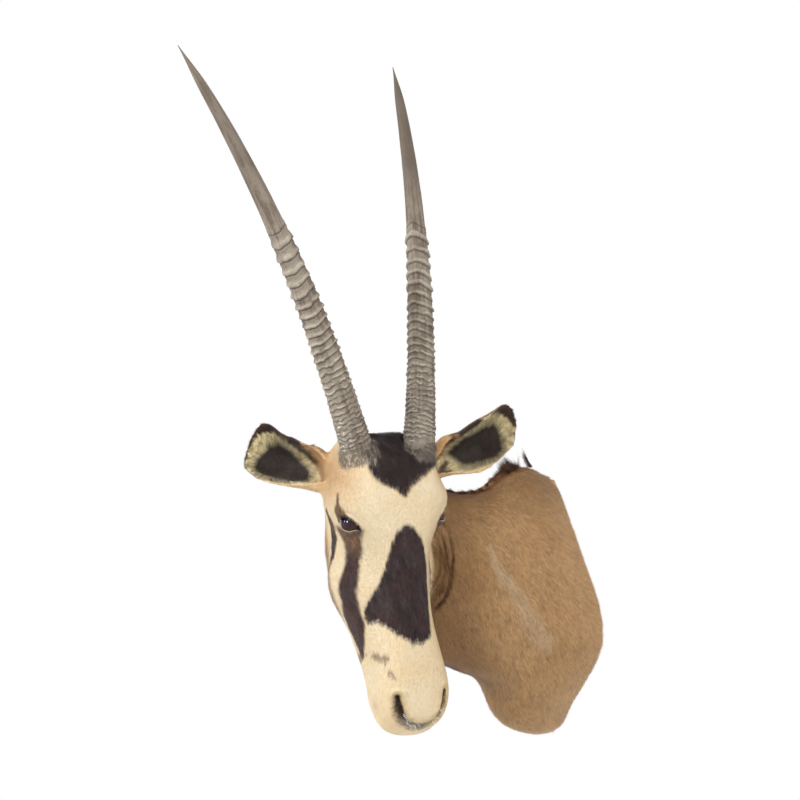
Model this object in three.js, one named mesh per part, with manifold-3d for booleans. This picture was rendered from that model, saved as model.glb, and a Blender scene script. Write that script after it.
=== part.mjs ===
// A gemsbok shoulder mount: the stuffed head, neck and shoulder skin with both ringed horns,
// two glass eyes, the wooden back board that lies against the wall and its sawtooth hanger.
//
// Millimetres. The wall is the plane y = 0 and the animal looks away from it, towards -Y, with its head
// turned hard to its own left, towards +X. +Z is up. The origin is the middle of the board's back face.
import * as THREE from "three";
import { mergeVertices } from "three/addons/utils/BufferGeometryUtils.js";
import Module from "manifold-3d";

const wasm = await Module();
wasm.setup();

// ---- Driving dimensions ----
const GAP = 0.3; // between pieces that touch
const RIGHT = -1; // the animal's right, x below 0 in the head's frame
const LEFT = 1;

// The head's own frame: x to the animal's left, y to the back of the skull, z up the face to the poll.
// Its origin lies between the two horns where they meet the forehead.
const HEAD_AT = [76, -327, 236];
const HEAD_TURN = 84; // degrees to the animal's left
const HEAD_NOD = -7.5; // degrees, with the nose forward
const HEAD_TILT = -4; // degrees, with the horns towards the animal's right

const HORN_LENGTH = 592; // along its curve
const HORN_BASE_X = 48;
const HORN_BASE_Y = 22;
const HORN_STEPS = 64; // straight pieces that its curve is reckoned in
const HORN_SINK = 30; // how far the horn reaches down into the skull
// The bare horn's half-depth at even steps from its base to its tip: stout below, then a long taper.
const HORN_HALF_DEPTHS = [23.5, 21.6, 19.6, 18, 16.6, 14.8, 12.9, 11.2, 9.3, 6.6, 0.6];
const HORN_RADII = HORN_HALF_DEPTHS.map((radius) => ({ radius }));
const HORN_FLATNESS = 0.92; // width over depth
// Degrees outward and backward at the base, and how much more at the tip. No two horns grow quite alike.
const HORN_BENDS = {
  [RIGHT]: { spread: 13, spreadGain: 8.6, lean: -6, leanGain: 18 },
  [LEFT]: { spread: 10.5, spreadGain: -1.2, lean: 0, leanGain: 25 },
};
const RINGED_SHARE = 0.52; // of the length, from the base
const RING_COUNT = 29;
const RING_SPACING_FIRST = 6.5; // at the base
const RING_SPACING_LAST = 21; // at the last ring
const RING_CROWDING = 2.6; // above 1 keeps the close rings near the base
const RING_HEIGHT = 2;
// Each ring swells and then steps in: [share of the gap from the ring below, share of the ring's height].
const RING_PROFILE = [
  [0.4, 0],
  [0.85, 1],
];
const RING_SLANT = 0.16; // how much a ring dips towards the head's outer side, over its radius
const HORN_SIDES = 12;
const HORN_TIP_ROWS = 9;

const EYE_RADIUS = 16.5;
const EYE_SEGMENTS = [14, 10];
const EYE_AT = [57.5, 34, -98];

const EAR_LENGTH = 157;
const EAR_THICKNESS = 5;
// At even steps from root to tip: half the ear's width, and the radians that it wraps round each way.
// It is a stem that is nearly closed at the root, opens into a cup and ends in a blunt tip.
const EAR_SECTIONS = [
  { half: 15, wrap: 2.75 },
  { half: 17, wrap: 2.5 },
  { half: 25, wrap: 1.95 },
  { half: 33, wrap: 1.5 },
  { half: 36.5, wrap: 1.25 },
  { half: 35.5, wrap: 1.1 },
  { half: 29, wrap: 0.95 },
];
const EAR_TIP_ROUNDING = 0.1; // how far the tip's corners fall short, over the ear's length
const EAR_ROWS = 13;
const EAR_COLUMNS = 10;
// Where each ear grows from, the way it points and the way its hollow looks, in the head's frame.
const EARS = [
  { root: [-60, 52, -36], points: [-0.54, 0.73, 0.41], opens: [-0.43, -0.89, 0.1] },
  { root: [62, 44, -44], points: [0.9, -0.2, 0.4], opens: [-0.2, -0.9, -0.3] },
];

const BOARD_THICKNESS = 14;
const BOARD_SHARE = 0.93; // of the skin's outline at the wall
const POCKET_SHARE = BOARD_SHARE + 0.006; // the hollow that the board sits in
const POCKET_EXTRA = 5; // how far the cutter for that hollow stands out of the skin
const SKIN_EDGE_Y = -2; // where the skin ends, just short of the wall
const HANGER_Z = 110;
const HANGER_SIZE = [64, 1.6, 18];
const HANGER_RECESS = [70, 4, 24];
const HANGER_TEETH = 9;
const HANGER_TOOTHED_SHARE = 0.6; // of the hanger's width

// A nostril is a comma: this is its middle line, from the top of the slit round to its inner end.
const NOSTRIL_PATH = [
  [31, 4, -338],
  [33, 12, -352],
  [25, 15, -366],
  [11, 20, -376],
];
const NOSTRIL_RADIUS = 5.5;
const NOSTRIL_DEPTH = 1.5; // depth over width
const NOSTRIL_TAPER = 0.55;
const NOSTRIL_STEPS = 8;

// Head sections, from above the poll down to the end of the muzzle.
// z: height; front and back: y of the face and of the jaw on the midline;
// bridge, cheek and jaw: half-widths at the face's edge, at cheekY and beside the jaw.
const HEAD_SECTIONS = [
  { z: 20, front: 40, bridge: 26, cheekY: 66, cheek: 44, jaw: 30, back: 104 },
  { z: 8, front: 16, bridge: 44, cheekY: 60, cheek: 60, jaw: 42, back: 128 },
  { z: -12, front: 0, bridge: 54, cheekY: 56, cheek: 68, jaw: 50, back: 142 },
  { z: -45, front: -8, bridge: 60, cheekY: 44, cheek: 76, jaw: 54, back: 152 },
  { z: -80, front: -11, bridge: 64, cheekY: 28, cheek: 82, jaw: 57, back: 150 },
  { z: -112, front: -10, bridge: 50, cheekY: 46, cheek: 70, jaw: 60, back: 152 },
  { z: -150, front: -6, bridge: 34, cheekY: 70, cheek: 60, jaw: 58, back: 152 },
  { z: -195, front: -3, bridge: 29, cheekY: 74, cheek: 56, jaw: 58, back: 150 },
  { z: -240, front: -1, bridge: 30, cheekY: 70, cheek: 51, jaw: 46, back: 146 },
  { z: -285, front: 0, bridge: 37, cheekY: 56, cheek: 50, jaw: 43, back: 130 },
  { z: -325, front: 1, bridge: 42, cheekY: 46, cheek: 52, jaw: 44, back: 112 },
  { z: -355, front: 5, bridge: 41, cheekY: 46, cheek: 51, jaw: 43, back: 104 },
  { z: -380, front: 18, bridge: 31, cheekY: 52, cheek: 43, jaw: 33, back: 94 },
  { z: -392, front: 38, bridge: 14, cheekY: 56, cheek: 24, jaw: 18, back: 76 },
];
const HEAD_ROWS = 28;
const HEAD_SIDES = 26;
const FACE_CROWN = 2; // how far the flat of the face falls back before its edge
const FACE_FLAT = 0.62; // share of the bridge that is flat
const BRIDGE_DROP = 13; // how far the bridge's edge lies behind the midline
const JAW_RISE = 26; // from the jaw's underside up to its corner
const CHIN_RISE = 5;

// Neck sections from the wall to the skull. Each row has the centre's y and x, the degrees that the section
// faces to the left, the heights of its ridge (top), widest line (wide) and underside (bottom), and then
// half-widths: crest and upper are nine tenths and half of the way up, half is at the widest line, and
// lower and keel are half and nine tenths of the way down.
const NECK_SECTIONS = [
  [SKIN_EDGE_Y, 0, 0, 192, -42, -196, 18, 66, 113, 74, 25],
  [-24, 0, 0, 198, -40, -198, 23, 71, 115, 80, 32],
  [-56, 0, 0, 200, -30, -192, 26, 73, 110, 82, 36],
  [-96, -3, 0, 186, -12, -174, 30, 72, 98, 80, 38],
  [-132, -8, 2, 166, 8, -131, 32, 72, 88, 74, 36],
  [-168, -15, 5, 160, 28, -98, 32, 68, 80, 68, 34],
  [-210, -26, 12, 170, 48, -74, 32, 64, 74, 64, 32],
  [-258, -32, 26, 190, 70, -42, 31, 61, 70, 61, 31],
  [-304, -24, 48, 206, 92, -4, 28, 54, 60, 54, 29],
  [-328, -6, 70, 208, 112, 34, 23, 44, 50, 44, 23],
].map(([y, x, turn, top, wide, bottom, crest, upper, half, lower, keel]) => {
  return { y, x, turn, top, wide, bottom, crest, upper, half, lower, keel };
});
const NECK_ROWS = 20;
const NECK_SIDES = 30;

const COLOURS = {
  cape: { color: 0xb08a5e, roughness: 0.85, metalness: 0 },
  horn: { color: 0x9b9184, roughness: 0.55, metalness: 0 },
  eye: { color: 0x1a0e08, roughness: 0.05, metalness: 0 },
  board: { color: 0xa98457, roughness: 0.8, metalness: 0 },
  steel: { color: 0x9a9a98, roughness: 0.4, metalness: 0.9 },
};

// ---- Helpers ----
const radians = THREE.MathUtils.degToRad;
const steps = (count) => Array.from({ length: count }, (_, i) => i);

// A closed solid from rows of points, each row a ring of the same number of points, with flat end caps.
function loftGeometry(rings, capOf = fanCap) {
  const sides = rings[0].length;
  const points = rings.flat();
  const faces = [];
  for (let row = 0; row < rings.length - 1; row++) {
    for (let i = 0; i < sides; i++) {
      const a = row * sides + i;
      const b = row * sides + ((i + 1) % sides);
      faces.push(a, b, b + sides, a, b + sides, a + sides);
    }
  }
  const last = points.length - sides;
  const cap = capOf(sides);
  faces.push(...cap.toReversed(), ...cap.map((i) => i + last));
  const geometry = new THREE.BufferGeometry().setFromPoints(points);
  geometry.setIndex(faces);
  return facingOut(geometry);
}

// Triangles across a rounded ring.
function fanCap(sides) {
  return steps(sides - 2).flatMap((i) => [0, i + 1, i + 2]);
}

// Triangles across a thin ring that goes out along one side and comes back along the other.
function stripCap(sides) {
  return steps(sides / 2 - 1).flatMap((i) => {
    const back = sides - 1 - i;
    return [i, i + 1, back, i + 1, back - 1, back];
  });
}

// Turns every face round if the solid's volume comes out negative.
function facingOut(geometry) {
  const p = geometry.getAttribute("position");
  const index = geometry.getIndex().array;
  const corner = (i) => new THREE.Vector3().fromBufferAttribute(p, index[i]);
  let volume = 0;
  for (let i = 0; i < index.length; i += 3) {
    volume += corner(i).dot(corner(i + 1).cross(corner(i + 2)));
  }
  if (volume < 0) {
    for (let i = 0; i < index.length; i += 3) {
      [index[i + 1], index[i + 2]] = [index[i + 2], index[i + 1]];
    }
  }
  return geometry;
}

function solidOf(geometry) {
  const bare = geometry.clone();
  bare.deleteAttribute("normal");
  bare.deleteAttribute("uv");
  const merged = mergeVertices(bare, 1e-3);
  return new wasm.Manifold(
    new wasm.Mesh({
      numProp: 3,
      vertProperties: new Float32Array(merged.getAttribute("position").array),
      triVerts: new Uint32Array(merged.getIndex().array),
    }),
  );
}

function geometryOf(solid) {
  const mesh = solid.getMesh();
  const geometry = new THREE.BufferGeometry();
  geometry.setAttribute("position", new THREE.BufferAttribute(mesh.vertProperties, 3));
  geometry.setIndex(new THREE.BufferAttribute(mesh.triVerts, 1));
  geometry.computeVertexNormals();
  return geometry;
}

// The value of one named measure along a table of sections, smooth between its rows.
function along(table, key, t) {
  const spot = t * (table.length - 1);
  const row = Math.min(Math.floor(spot), table.length - 2);
  const at = (i) => table[THREE.MathUtils.clamp(i, 0, table.length - 1)][key];
  const [a, b, c, d] = [at(row - 1), at(row), at(row + 1), at(row + 2)];
  const s = spot - row;
  const slopeB = (c - a) / 2;
  const slopeC = (d - b) / 2;
  const s2 = s * s;
  const s3 = s2 * s;
  return (
    (2 * s3 - 3 * s2 + 1) * b + (s3 - 2 * s2 + s) * slopeB + (3 * s2 - 2 * s3) * c + (s3 - s2) * slopeC
  );
}

function headMatrix() {
  const turn = new THREE.Euler(radians(HEAD_NOD), radians(HEAD_TILT), radians(HEAD_TURN), "ZXY");
  return new THREE.Matrix4().makeRotationFromEuler(turn).setPosition(...HEAD_AT);
}

// ---- Head ----
function headRing(t) {
  const at = (key) => along(HEAD_SECTIONS, key, t);
  const [z, front, back] = [at("z"), at("front"), at("back")];
  const half = [
    [0, front],
    [at("bridge") * FACE_FLAT, front + FACE_CROWN],
    [at("bridge"), front + BRIDGE_DROP],
    [at("cheek"), at("cheekY")],
    [at("jaw"), back - JAW_RISE],
    [at("jaw") * FACE_FLAT, back - CHIN_RISE],
    [0, back],
  ];
  const mirrored = half.slice(1, -1).reverse().map(([x, y]) => [-x, y]);
  const outline = half.concat(mirrored).map(([x, y]) => new THREE.Vector3(x, y, z));
  const curve = new THREE.CatmullRomCurve3(outline, true, "centripetal");
  return curve.getSpacedPoints(HEAD_SIDES).slice(0, HEAD_SIDES);
}

function headGeometry() {
  return loftGeometry(steps(HEAD_ROWS).map((row) => headRing(row / (HEAD_ROWS - 1))));
}

// ---- Nostrils: a comma-shaped pit each side of the nose's front ----
function nostrilGeometry(side) {
  const line = NOSTRIL_PATH.map(([x, y, z]) => new THREE.Vector3(side * x, y, z));
  const curve = new THREE.CatmullRomCurve3(line);
  const rings = steps(NOSTRIL_STEPS).map((row) => {
    const t = row / (NOSTRIL_STEPS - 1);
    const centre = curve.getPoint(t);
    const tangent = curve.getTangent(t);
    const across = new THREE.Vector3(0, 1, 0).cross(tangent).normalize();
    const deep = tangent.clone().cross(across);
    const radius = NOSTRIL_RADIUS * (1 - NOSTRIL_TAPER * t);
    return steps(NOSTRIL_STEPS).map((i) => {
      const angle = (i / NOSTRIL_STEPS) * Math.PI * 2;
      return centre
        .clone()
        .addScaledVector(across, radius * Math.cos(angle))
        .addScaledVector(deep, radius * NOSTRIL_DEPTH * Math.sin(angle));
    });
  });
  return loftGeometry(rings);
}

// ---- Eyes ----
function eyeGeometry(side, radius) {
  const eye = new THREE.SphereGeometry(radius, ...EYE_SEGMENTS);
  return eye.translate(side * EYE_AT[0], EYE_AT[1], EYE_AT[2]);
}

// ---- Ears: a cupped leaf with a rim, in its own frame: z along it, x across it, -y its open side ----
function earGeometry() {
  const rings = steps(EAR_ROWS).map((row) => {
    const t = row / (EAR_ROWS - 1);
    const wrap = along(EAR_SECTIONS, "wrap", t);
    const radius = along(EAR_SECTIONS, "half", t) / Math.sin(Math.min(wrap, Math.PI / 2));
    const skin = (u, depth) => {
      const reach = radius + depth;
      const y = reach * Math.cos(u * wrap) - radius * Math.cos(wrap);
      const z = EAR_LENGTH * (t - EAR_TIP_ROUNDING * t ** 3 * u * u);
      return new THREE.Vector3(reach * Math.sin(u * wrap), y, z);
    };
    const outer = steps(EAR_COLUMNS + 1).map((i) => skin((i / EAR_COLUMNS) * 2 - 1, EAR_THICKNESS));
    const inner = steps(EAR_COLUMNS + 1).map((i) => skin(1 - (i / EAR_COLUMNS) * 2, 0));
    return outer.concat(inner);
  });
  return loftGeometry(rings, stripCap);
}

function earMatrix({ root, points, opens }) {
  const tipward = new THREE.Vector3(...points).normalize();
  const back = new THREE.Vector3(...opens).negate();
  back.addScaledVector(tipward, -back.dot(tipward)).normalize();
  const across = back.clone().cross(tipward);
  return new THREE.Matrix4().makeBasis(across, back, tipward).setPosition(...root);
}

// ---- Neck ----
function neckRing(t) {
  const at = (key) => along(NECK_SECTIONS, key, t);
  const turn = radians(at("turn"));
  const leftward = new THREE.Vector3(Math.cos(turn), Math.sin(turn), 0);
  const height = (end, share) => THREE.MathUtils.lerp(at("wide"), at(end), share);
  const half = [
    [0, at("top")],
    [at("crest"), height("top", 0.9)],
    [at("upper"), height("top", 0.5)],
    [at("half"), at("wide")],
    [at("lower"), height("bottom", 0.5)],
    [at("keel"), height("bottom", 0.9)],
    [0, at("bottom")],
  ];
  const mirrored = half.slice(1, -1).reverse().map(([out, z]) => [-out, z]);
  const outline = half.concat(mirrored).map(([out, z]) => {
    return new THREE.Vector3(at("x"), at("y"), z).addScaledVector(leftward, out);
  });
  const curve = new THREE.CatmullRomCurve3(outline, true, "centripetal");
  return curve.getSpacedPoints(NECK_SIDES).slice(0, NECK_SIDES);
}

function neckGeometry() {
  return loftGeometry(steps(NECK_ROWS).map((row) => neckRing(row / (NECK_ROWS - 1))));
}

// ---- Horns, in the head's frame ----
function hornPath(side) {
  const bend = HORN_BENDS[side];
  const points = [new THREE.Vector3(side * HORN_BASE_X, HORN_BASE_Y, 0)];
  const headings = [];
  for (let i = 0; i < HORN_STEPS; i++) {
    const t = (i + 0.5) / HORN_STEPS;
    const spread = radians(bend.spread + bend.spreadGain * t);
    const lean = radians(bend.lean + bend.leanGain * t);
    const heading = new THREE.Vector3(
      side * Math.sin(spread) * Math.cos(lean),
      Math.sin(lean),
      Math.cos(spread) * Math.cos(lean),
    );
    headings.push(heading);
    points.push(points.at(-1).clone().addScaledVector(heading, HORN_LENGTH / HORN_STEPS));
  }
  const place = (s) => {
    if (s < 0) return points[0].clone().addScaledVector(headings[0], s);
    const spot = (Math.min(s, HORN_LENGTH - 1e-6) / HORN_LENGTH) * HORN_STEPS;
    const i = Math.floor(spot);
    return points[i].clone().lerp(points[i + 1], spot - i);
  };
  const heading = (s) => {
    const i = Math.floor((s / HORN_LENGTH) * HORN_STEPS);
    return headings[THREE.MathUtils.clamp(i, 0, HORN_STEPS - 1)];
  };
  return { place, heading };
}

// The distance from the base to each ring: they crowd at the base and open out upwards.
function ringPlaces() {
  const gaps = steps(RING_COUNT).map((i) =>
    THREE.MathUtils.lerp(RING_SPACING_FIRST, RING_SPACING_LAST, (i / (RING_COUNT - 1)) ** RING_CROWDING),
  );
  const scale = (HORN_LENGTH * RINGED_SHARE) / gaps.reduce((a, b) => a + b, 0);
  let s = 0;
  return gaps.map((gap) => (s += gap * scale));
}

function hornRadius(s) {
  return along(HORN_RADII, "radius", THREE.MathUtils.clamp(s / HORN_LENGTH, 0, 1));
}

function hornGeometry(side) {
  const { place, heading } = hornPath(side);
  const rings = ringPlaces();
  const ringEnd = rings.at(-1);
  const rows = [{ s: -HORN_SINK, raise: 0 }];
  let before = 0;
  for (const s of rings) {
    const gap = s - before;
    const fade = Math.min(1, (ringEnd + gap * 2 - s) / (gap * 4));
    for (const [share, swell] of RING_PROFILE) {
      rows.push({ s: before + gap * share, raise: RING_HEIGHT * fade * swell });
    }
    before = s;
  }
  for (const i of steps(HORN_TIP_ROWS)) {
    const s = ringEnd + (HORN_LENGTH - ringEnd) * ((i + 1) / HORN_TIP_ROWS);
    rows.push({ s, raise: 0 });
  }
  const outlines = rows.map(({ s, raise }) => {
    const radius = hornRadius(s) + raise;
    const up = heading(Math.max(s, 0));
    const across = new THREE.Vector3(0, 1, 0).cross(up).normalize();
    const deep = up.clone().cross(across);
    return steps(HORN_SIDES).map((i) => {
      const angle = (i / HORN_SIDES) * Math.PI * 2;
      const slant = raise ? -RING_SLANT * side * radius * Math.cos(angle) : 0;
      return place(s)
        .addScaledVector(across, radius * HORN_FLATNESS * Math.cos(angle))
        .addScaledVector(deep, radius * Math.sin(angle))
        .addScaledVector(up, slant);
    });
  });
  return loftGeometry(outlines);
}

// A plain sleeve a little larger than the horn's root, which makes its socket in the skin.
function hornSocketGeometry(side) {
  const { place, heading } = hornPath(side);
  const up = heading(0);
  const across = new THREE.Vector3(0, 1, 0).cross(up).normalize();
  const deep = up.clone().cross(across);
  const reach = hornRadius(0) + RING_HEIGHT + GAP * 3;
  const outlines = [-HORN_SINK - 1, HORN_SINK * 2].map((s) =>
    steps(HORN_SIDES * 2).map((i) => {
      const angle = (i / (HORN_SIDES * 2)) * Math.PI * 2;
      return place(s)
        .addScaledVector(across, reach * Math.cos(angle))
        .addScaledVector(deep, reach * Math.sin(angle));
    }),
  );
  return loftGeometry(outlines);
}

// ---- Board and hanger ----
function boardOutline(share) {
  const middle = NECK_SECTIONS[0].wide;
  return neckRing(0).map((p) => [p.x * share, (p.z - middle) * share + middle]);
}

// A flat plate whose outline is given in x and z, from y = 0 down to -depth.
function plateGeometry(outline, depth, y = 0) {
  const shape = new THREE.Shape(outline.map(([x, z]) => new THREE.Vector2(x, z)));
  const geometry = new THREE.ExtrudeGeometry(shape, { depth, bevelEnabled: false });
  geometry.rotateX(Math.PI / 2);
  geometry.translate(0, y, 0);
  return geometry;
}

function boardGeometry() {
  const board = solidOf(plateGeometry(boardOutline(BOARD_SHARE), BOARD_THICKNESS));
  const recess = new THREE.BoxGeometry(HANGER_RECESS[0], HANGER_RECESS[1] * 2, HANGER_RECESS[2]);
  recess.translate(0, 0, HANGER_Z);
  return geometryOf(board.subtract(solidOf(recess)));
}

function hangerGeometry() {
  const [width, depth, height] = HANGER_SIZE;
  const firstTooth = (-width * HANGER_TOOTHED_SHARE) / 2;
  const tooth = (width * HANGER_TOOTHED_SHARE) / HANGER_TEETH;
  const outline = [
    [-width / 2, height / 2],
    [-width / 2, -height / 6],
    [firstTooth, -height / 2],
  ];
  for (const i of steps(HANGER_TEETH)) {
    const x = firstTooth + i * tooth;
    outline.push([x + tooth * 0.5, -height / 2 + tooth * 0.8], [x + tooth, -height / 2]);
  }
  outline.push([width / 2, -height / 6], [width / 2, height / 2]);
  const placed = outline.map(([x, z]) => [x, z + HANGER_Z]);
  return plateGeometry(placed, depth, -HANGER_RECESS[1] + GAP + depth);
}

// ---- The skin: head, ears and neck in one piece, with sockets for horns, eyes and board ----
function capeGeometry() {
  const toRow = headMatrix();
  const inHead = (geometry) => solidOf(geometry.clone().applyMatrix4(toRow));
  let cape = inHead(headGeometry()).add(solidOf(neckGeometry()));
  for (const ear of EARS) {
    cape = cape.add(inHead(facingOut(earGeometry().applyMatrix4(earMatrix(ear)))));
  }
  for (const side of [RIGHT, LEFT]) {
    cape = cape.subtract(inHead(hornSocketGeometry(side)));
    cape = cape.subtract(inHead(eyeGeometry(side, EYE_RADIUS + GAP * 2)));
    cape = cape.subtract(inHead(nostrilGeometry(side)));
  }
  const depth = BOARD_THICKNESS + GAP + POCKET_EXTRA;
  const pocket = plateGeometry(boardOutline(POCKET_SHARE), depth, POCKET_EXTRA);
  return geometryOf(cape.subtract(solidOf(pocket)));
}

// ---- The object ----
const mount = new THREE.Group();
const head = new THREE.Group();
headMatrix().decompose(head.position, head.quaternion, head.scale);
mount.add(head);

function addPiece(parent, name, geometry, finish) {
  const mesh = new THREE.Mesh(geometry, new THREE.MeshStandardMaterial(finish));
  mesh.name = name;
  parent.add(mesh);
}

addPiece(mount, "head_and_neck_skin", capeGeometry(), COLOURS.cape);
for (const [side, name] of [
  [RIGHT, "right"],
  [LEFT, "left"],
]) {
  addPiece(head, `${name}_horn`, hornGeometry(side), COLOURS.horn);
  addPiece(head, `${name}_glass_eye`, eyeGeometry(side, EYE_RADIUS), COLOURS.eye);
}
addPiece(mount, "back_board", boardGeometry(), COLOURS.board);
addPiece(mount, "wall_hanger", hangerGeometry(), COLOURS.steel);

export default mount;
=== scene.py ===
"""A stuffed gemsbok's head and shoulders, made to hang on a wall.

Everything on the head is worked out in the head's own frame: x to the animal's left, y to the back of
the skull and z up the face, with its origin between the horns. Lengths are in millimetres until a mesh
is made, and Blender's own lengths are in metres.
"""

import math

import bmesh
import bpy
import numpy as np
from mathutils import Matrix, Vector


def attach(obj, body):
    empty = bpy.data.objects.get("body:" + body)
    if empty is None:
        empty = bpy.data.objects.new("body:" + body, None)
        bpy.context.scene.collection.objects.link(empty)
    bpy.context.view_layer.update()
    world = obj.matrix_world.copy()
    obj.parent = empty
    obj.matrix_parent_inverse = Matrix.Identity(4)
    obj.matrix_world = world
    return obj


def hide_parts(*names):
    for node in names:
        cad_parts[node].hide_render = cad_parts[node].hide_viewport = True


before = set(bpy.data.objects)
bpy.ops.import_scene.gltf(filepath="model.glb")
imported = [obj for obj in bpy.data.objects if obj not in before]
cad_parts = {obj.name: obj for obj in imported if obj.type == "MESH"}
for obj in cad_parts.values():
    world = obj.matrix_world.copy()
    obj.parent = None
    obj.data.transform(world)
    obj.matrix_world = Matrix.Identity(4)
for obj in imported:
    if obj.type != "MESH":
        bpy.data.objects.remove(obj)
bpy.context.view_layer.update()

MM = 0.001
RIGHT, LEFT = -1, 1
SIDES = {"right": RIGHT, "left": LEFT}
rng = np.random.default_rng(20)

# ---- Ways across the object, in the row's frame ----
SIDEWAYS_TURN = math.radians(58)
NECK_ACROSS = np.array([math.cos(SIDEWAYS_TURN), math.sin(SIDEWAYS_TURN), 0])  # level, along the left side
NECK_OUTWARD = np.array([math.sin(SIDEWAYS_TURN), -math.cos(SIDEWAYS_TURN), 0])  # level, out from that side

# ---- The head's frame, as in the model ----
HEAD_AT = np.array([76.0, -327.0, 236.0])
HEAD_TURN, HEAD_NOD, HEAD_TILT = 84, -7.5, -4  # degrees


def turned(axis, degrees):
    """The matrix of a turn about one axis."""
    c, s = math.cos(math.radians(degrees)), math.sin(math.radians(degrees))
    i, j = {"x": (1, 2), "y": (2, 0), "z": (0, 1)}[axis]
    matrix = np.eye(3)
    matrix[i, i] = matrix[j, j] = c
    matrix[i, j], matrix[j, i] = -s, s
    return matrix


HEAD_AXES = turned("z", HEAD_TURN) @ turned("x", HEAD_NOD) @ turned("y", HEAD_TILT)


def to_head(points):
    return (points - HEAD_AT) @ HEAD_AXES


def to_row(points):
    return points @ HEAD_AXES.T + HEAD_AT


# ---- Small numeric helpers ----
def unit(vectors):
    vectors = np.asarray(vectors, float)
    return vectors / np.maximum(np.linalg.norm(vectors, axis=-1, keepdims=True), 1e-9)


def smoothstep(low, high, value):
    t = np.clip((value - low) / (high - low), 0, 1)
    return t * t * (3 - 2 * t)


def mix(a, b, share):
    return a + (b - a) * share


def tinted(colour, tone, share):
    """Colours drawn towards a tone, each by its own share."""
    return mix(colour, tone, share[:, None])


def lattice_hash(x, y, z, seed):
    """A number from 0 to 1 for each whole-numbered place."""
    h = (x * 374761393 + y * 668265263 + z * 1274126177 + seed * 971215073) & 0xFFFFFFFF
    h = ((h ^ (h >> 13)) * 1103515245) & 0xFFFFFFFF
    h = ((h ^ (h >> 16)) * 2246822519) & 0xFFFFFFFF
    return (h ^ (h >> 15)) / 4294967295.0


def noise(points, size, seed):
    """Smooth noise from -1 to 1 with lumps of about that size, one number or one for each axis."""
    spot = np.asarray(points, float) / np.asarray(size, float)
    cell = np.floor(spot).astype(np.int64)
    f = spot - cell
    f = f * f * (3 - 2 * f)
    total = np.zeros(len(spot))
    for dx in (0, 1):
        for dy in (0, 1):
            for dz in (0, 1):
                corner = lattice_hash(cell[:, 0] + dx, cell[:, 1] + dy, cell[:, 2] + dz, seed)
                share = np.ones(len(spot))
                for axis, step in enumerate((dx, dy, dz)):
                    share = share * (f[:, axis] if step else 1 - f[:, axis])
                total += corner * share
    return total * 2 - 1


def rough_noise(points, size, seed, layers=3):
    total = sum(noise(points, np.asarray(size, float) / 2**i, seed + i) / 2**i for i in range(layers))
    return total / (2 - 0.5 ** (layers - 1))


def path_distance(points, path):
    """Distance from each point to a polyline, and how far along it, from 0 to 1, the nearest place lies."""
    path = np.asarray(path, float)
    best = np.full(len(points), 1e9)
    where = np.zeros(len(points))
    pieces = len(path) - 1
    for i in range(pieces):
        a, b = path[i], path[i + 1]
        share = np.clip((points - a) @ (b - a) / ((b - a) @ (b - a)), 0, 1)
        distance = np.linalg.norm(points - (a + share[:, None] * (b - a)), axis=1)
        closer = distance < best
        best[closer] = distance[closer]
        where[closer] = (i + share[closer]) / pieces
    return best, where


def inside_distance(points, outline):
    """Distance to a flat outline's edge, above 0 inside it and below 0 outside."""
    outline = np.asarray(outline, float)
    edge, _ = path_distance(points, np.vstack([outline, outline[:1]]))
    inside = np.zeros(len(points), bool)
    x, y = points[:, 0], points[:, 1]
    for (ax, ay), (bx, by) in zip(outline, np.roll(outline, -1, axis=0)):
        crosses = (ay > y) != (by > y)
        if ay != by:
            inside ^= crosses & (x < (bx - ax) * (y - ay) / (by - ay) + ax)
    return np.where(inside, edge, -edge)


def linear(red, green, blue):
    """A colour given as it looks on a screen, 0 to 255, as light."""
    value = np.array([red, green, blue], float) / 255
    return np.where(value <= 0.04045, value / 12.92, ((value + 0.055) / 1.055) ** 2.4)


# ---- Meshes ----
COLOUR_LAYER = "coat"


def new_mesh(name, points, faces):
    """A smooth mesh from an array of points in the row's frame, in mm, and one of faces."""
    mesh = bpy.data.meshes.new(name)
    count, corners = faces.shape
    mesh.vertices.add(len(points))
    mesh.vertices.foreach_set("co", (points * MM).astype(np.float32).ravel())
    mesh.loops.add(count * corners)
    mesh.loops.foreach_set("vertex_index", faces.astype(np.int32).ravel())
    mesh.polygons.add(count)
    mesh.polygons.foreach_set("loop_start", np.arange(0, count * corners, corners, dtype=np.int32))
    mesh.polygons.foreach_set("use_smooth", np.ones(count, bool))
    mesh.update(calc_edges=True)
    return mesh


def new_object(name, mesh):
    obj = bpy.data.objects.new(name, mesh)
    bpy.context.scene.collection.objects.link(obj)
    return obj


def rows_of(items, key, width, kind):
    flat = np.empty(len(items) * width, kind)
    items.foreach_get(key, flat)
    return flat.reshape(-1, width)


def points_of(mesh):
    return rows_of(mesh.vertices, "co", 3, np.float32).astype(float) / MM


def normals_of(mesh):
    return rows_of(mesh.vertices, "normal", 3, np.float32).astype(float)


def triangles_of(mesh):
    mesh.calc_loop_triangles()
    return rows_of(mesh.loop_triangles, "vertices", 3, np.int32)


def edges_of(mesh):
    return rows_of(mesh.edges, "vertices", 2, np.int32)


def set_points(mesh, points):
    mesh.vertices.foreach_set("co", (points * MM).astype(np.float32).ravel())
    mesh.update()


def set_colours(mesh, colours):
    layer = mesh.color_attributes.new(COLOUR_LAYER, "FLOAT_COLOR", "POINT")
    rgba = np.ones((len(colours), 4), np.float32)
    rgba[:, :3] = np.clip(colours, 0, 1)
    layer.data.foreach_set("color", rgba.ravel())


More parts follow.
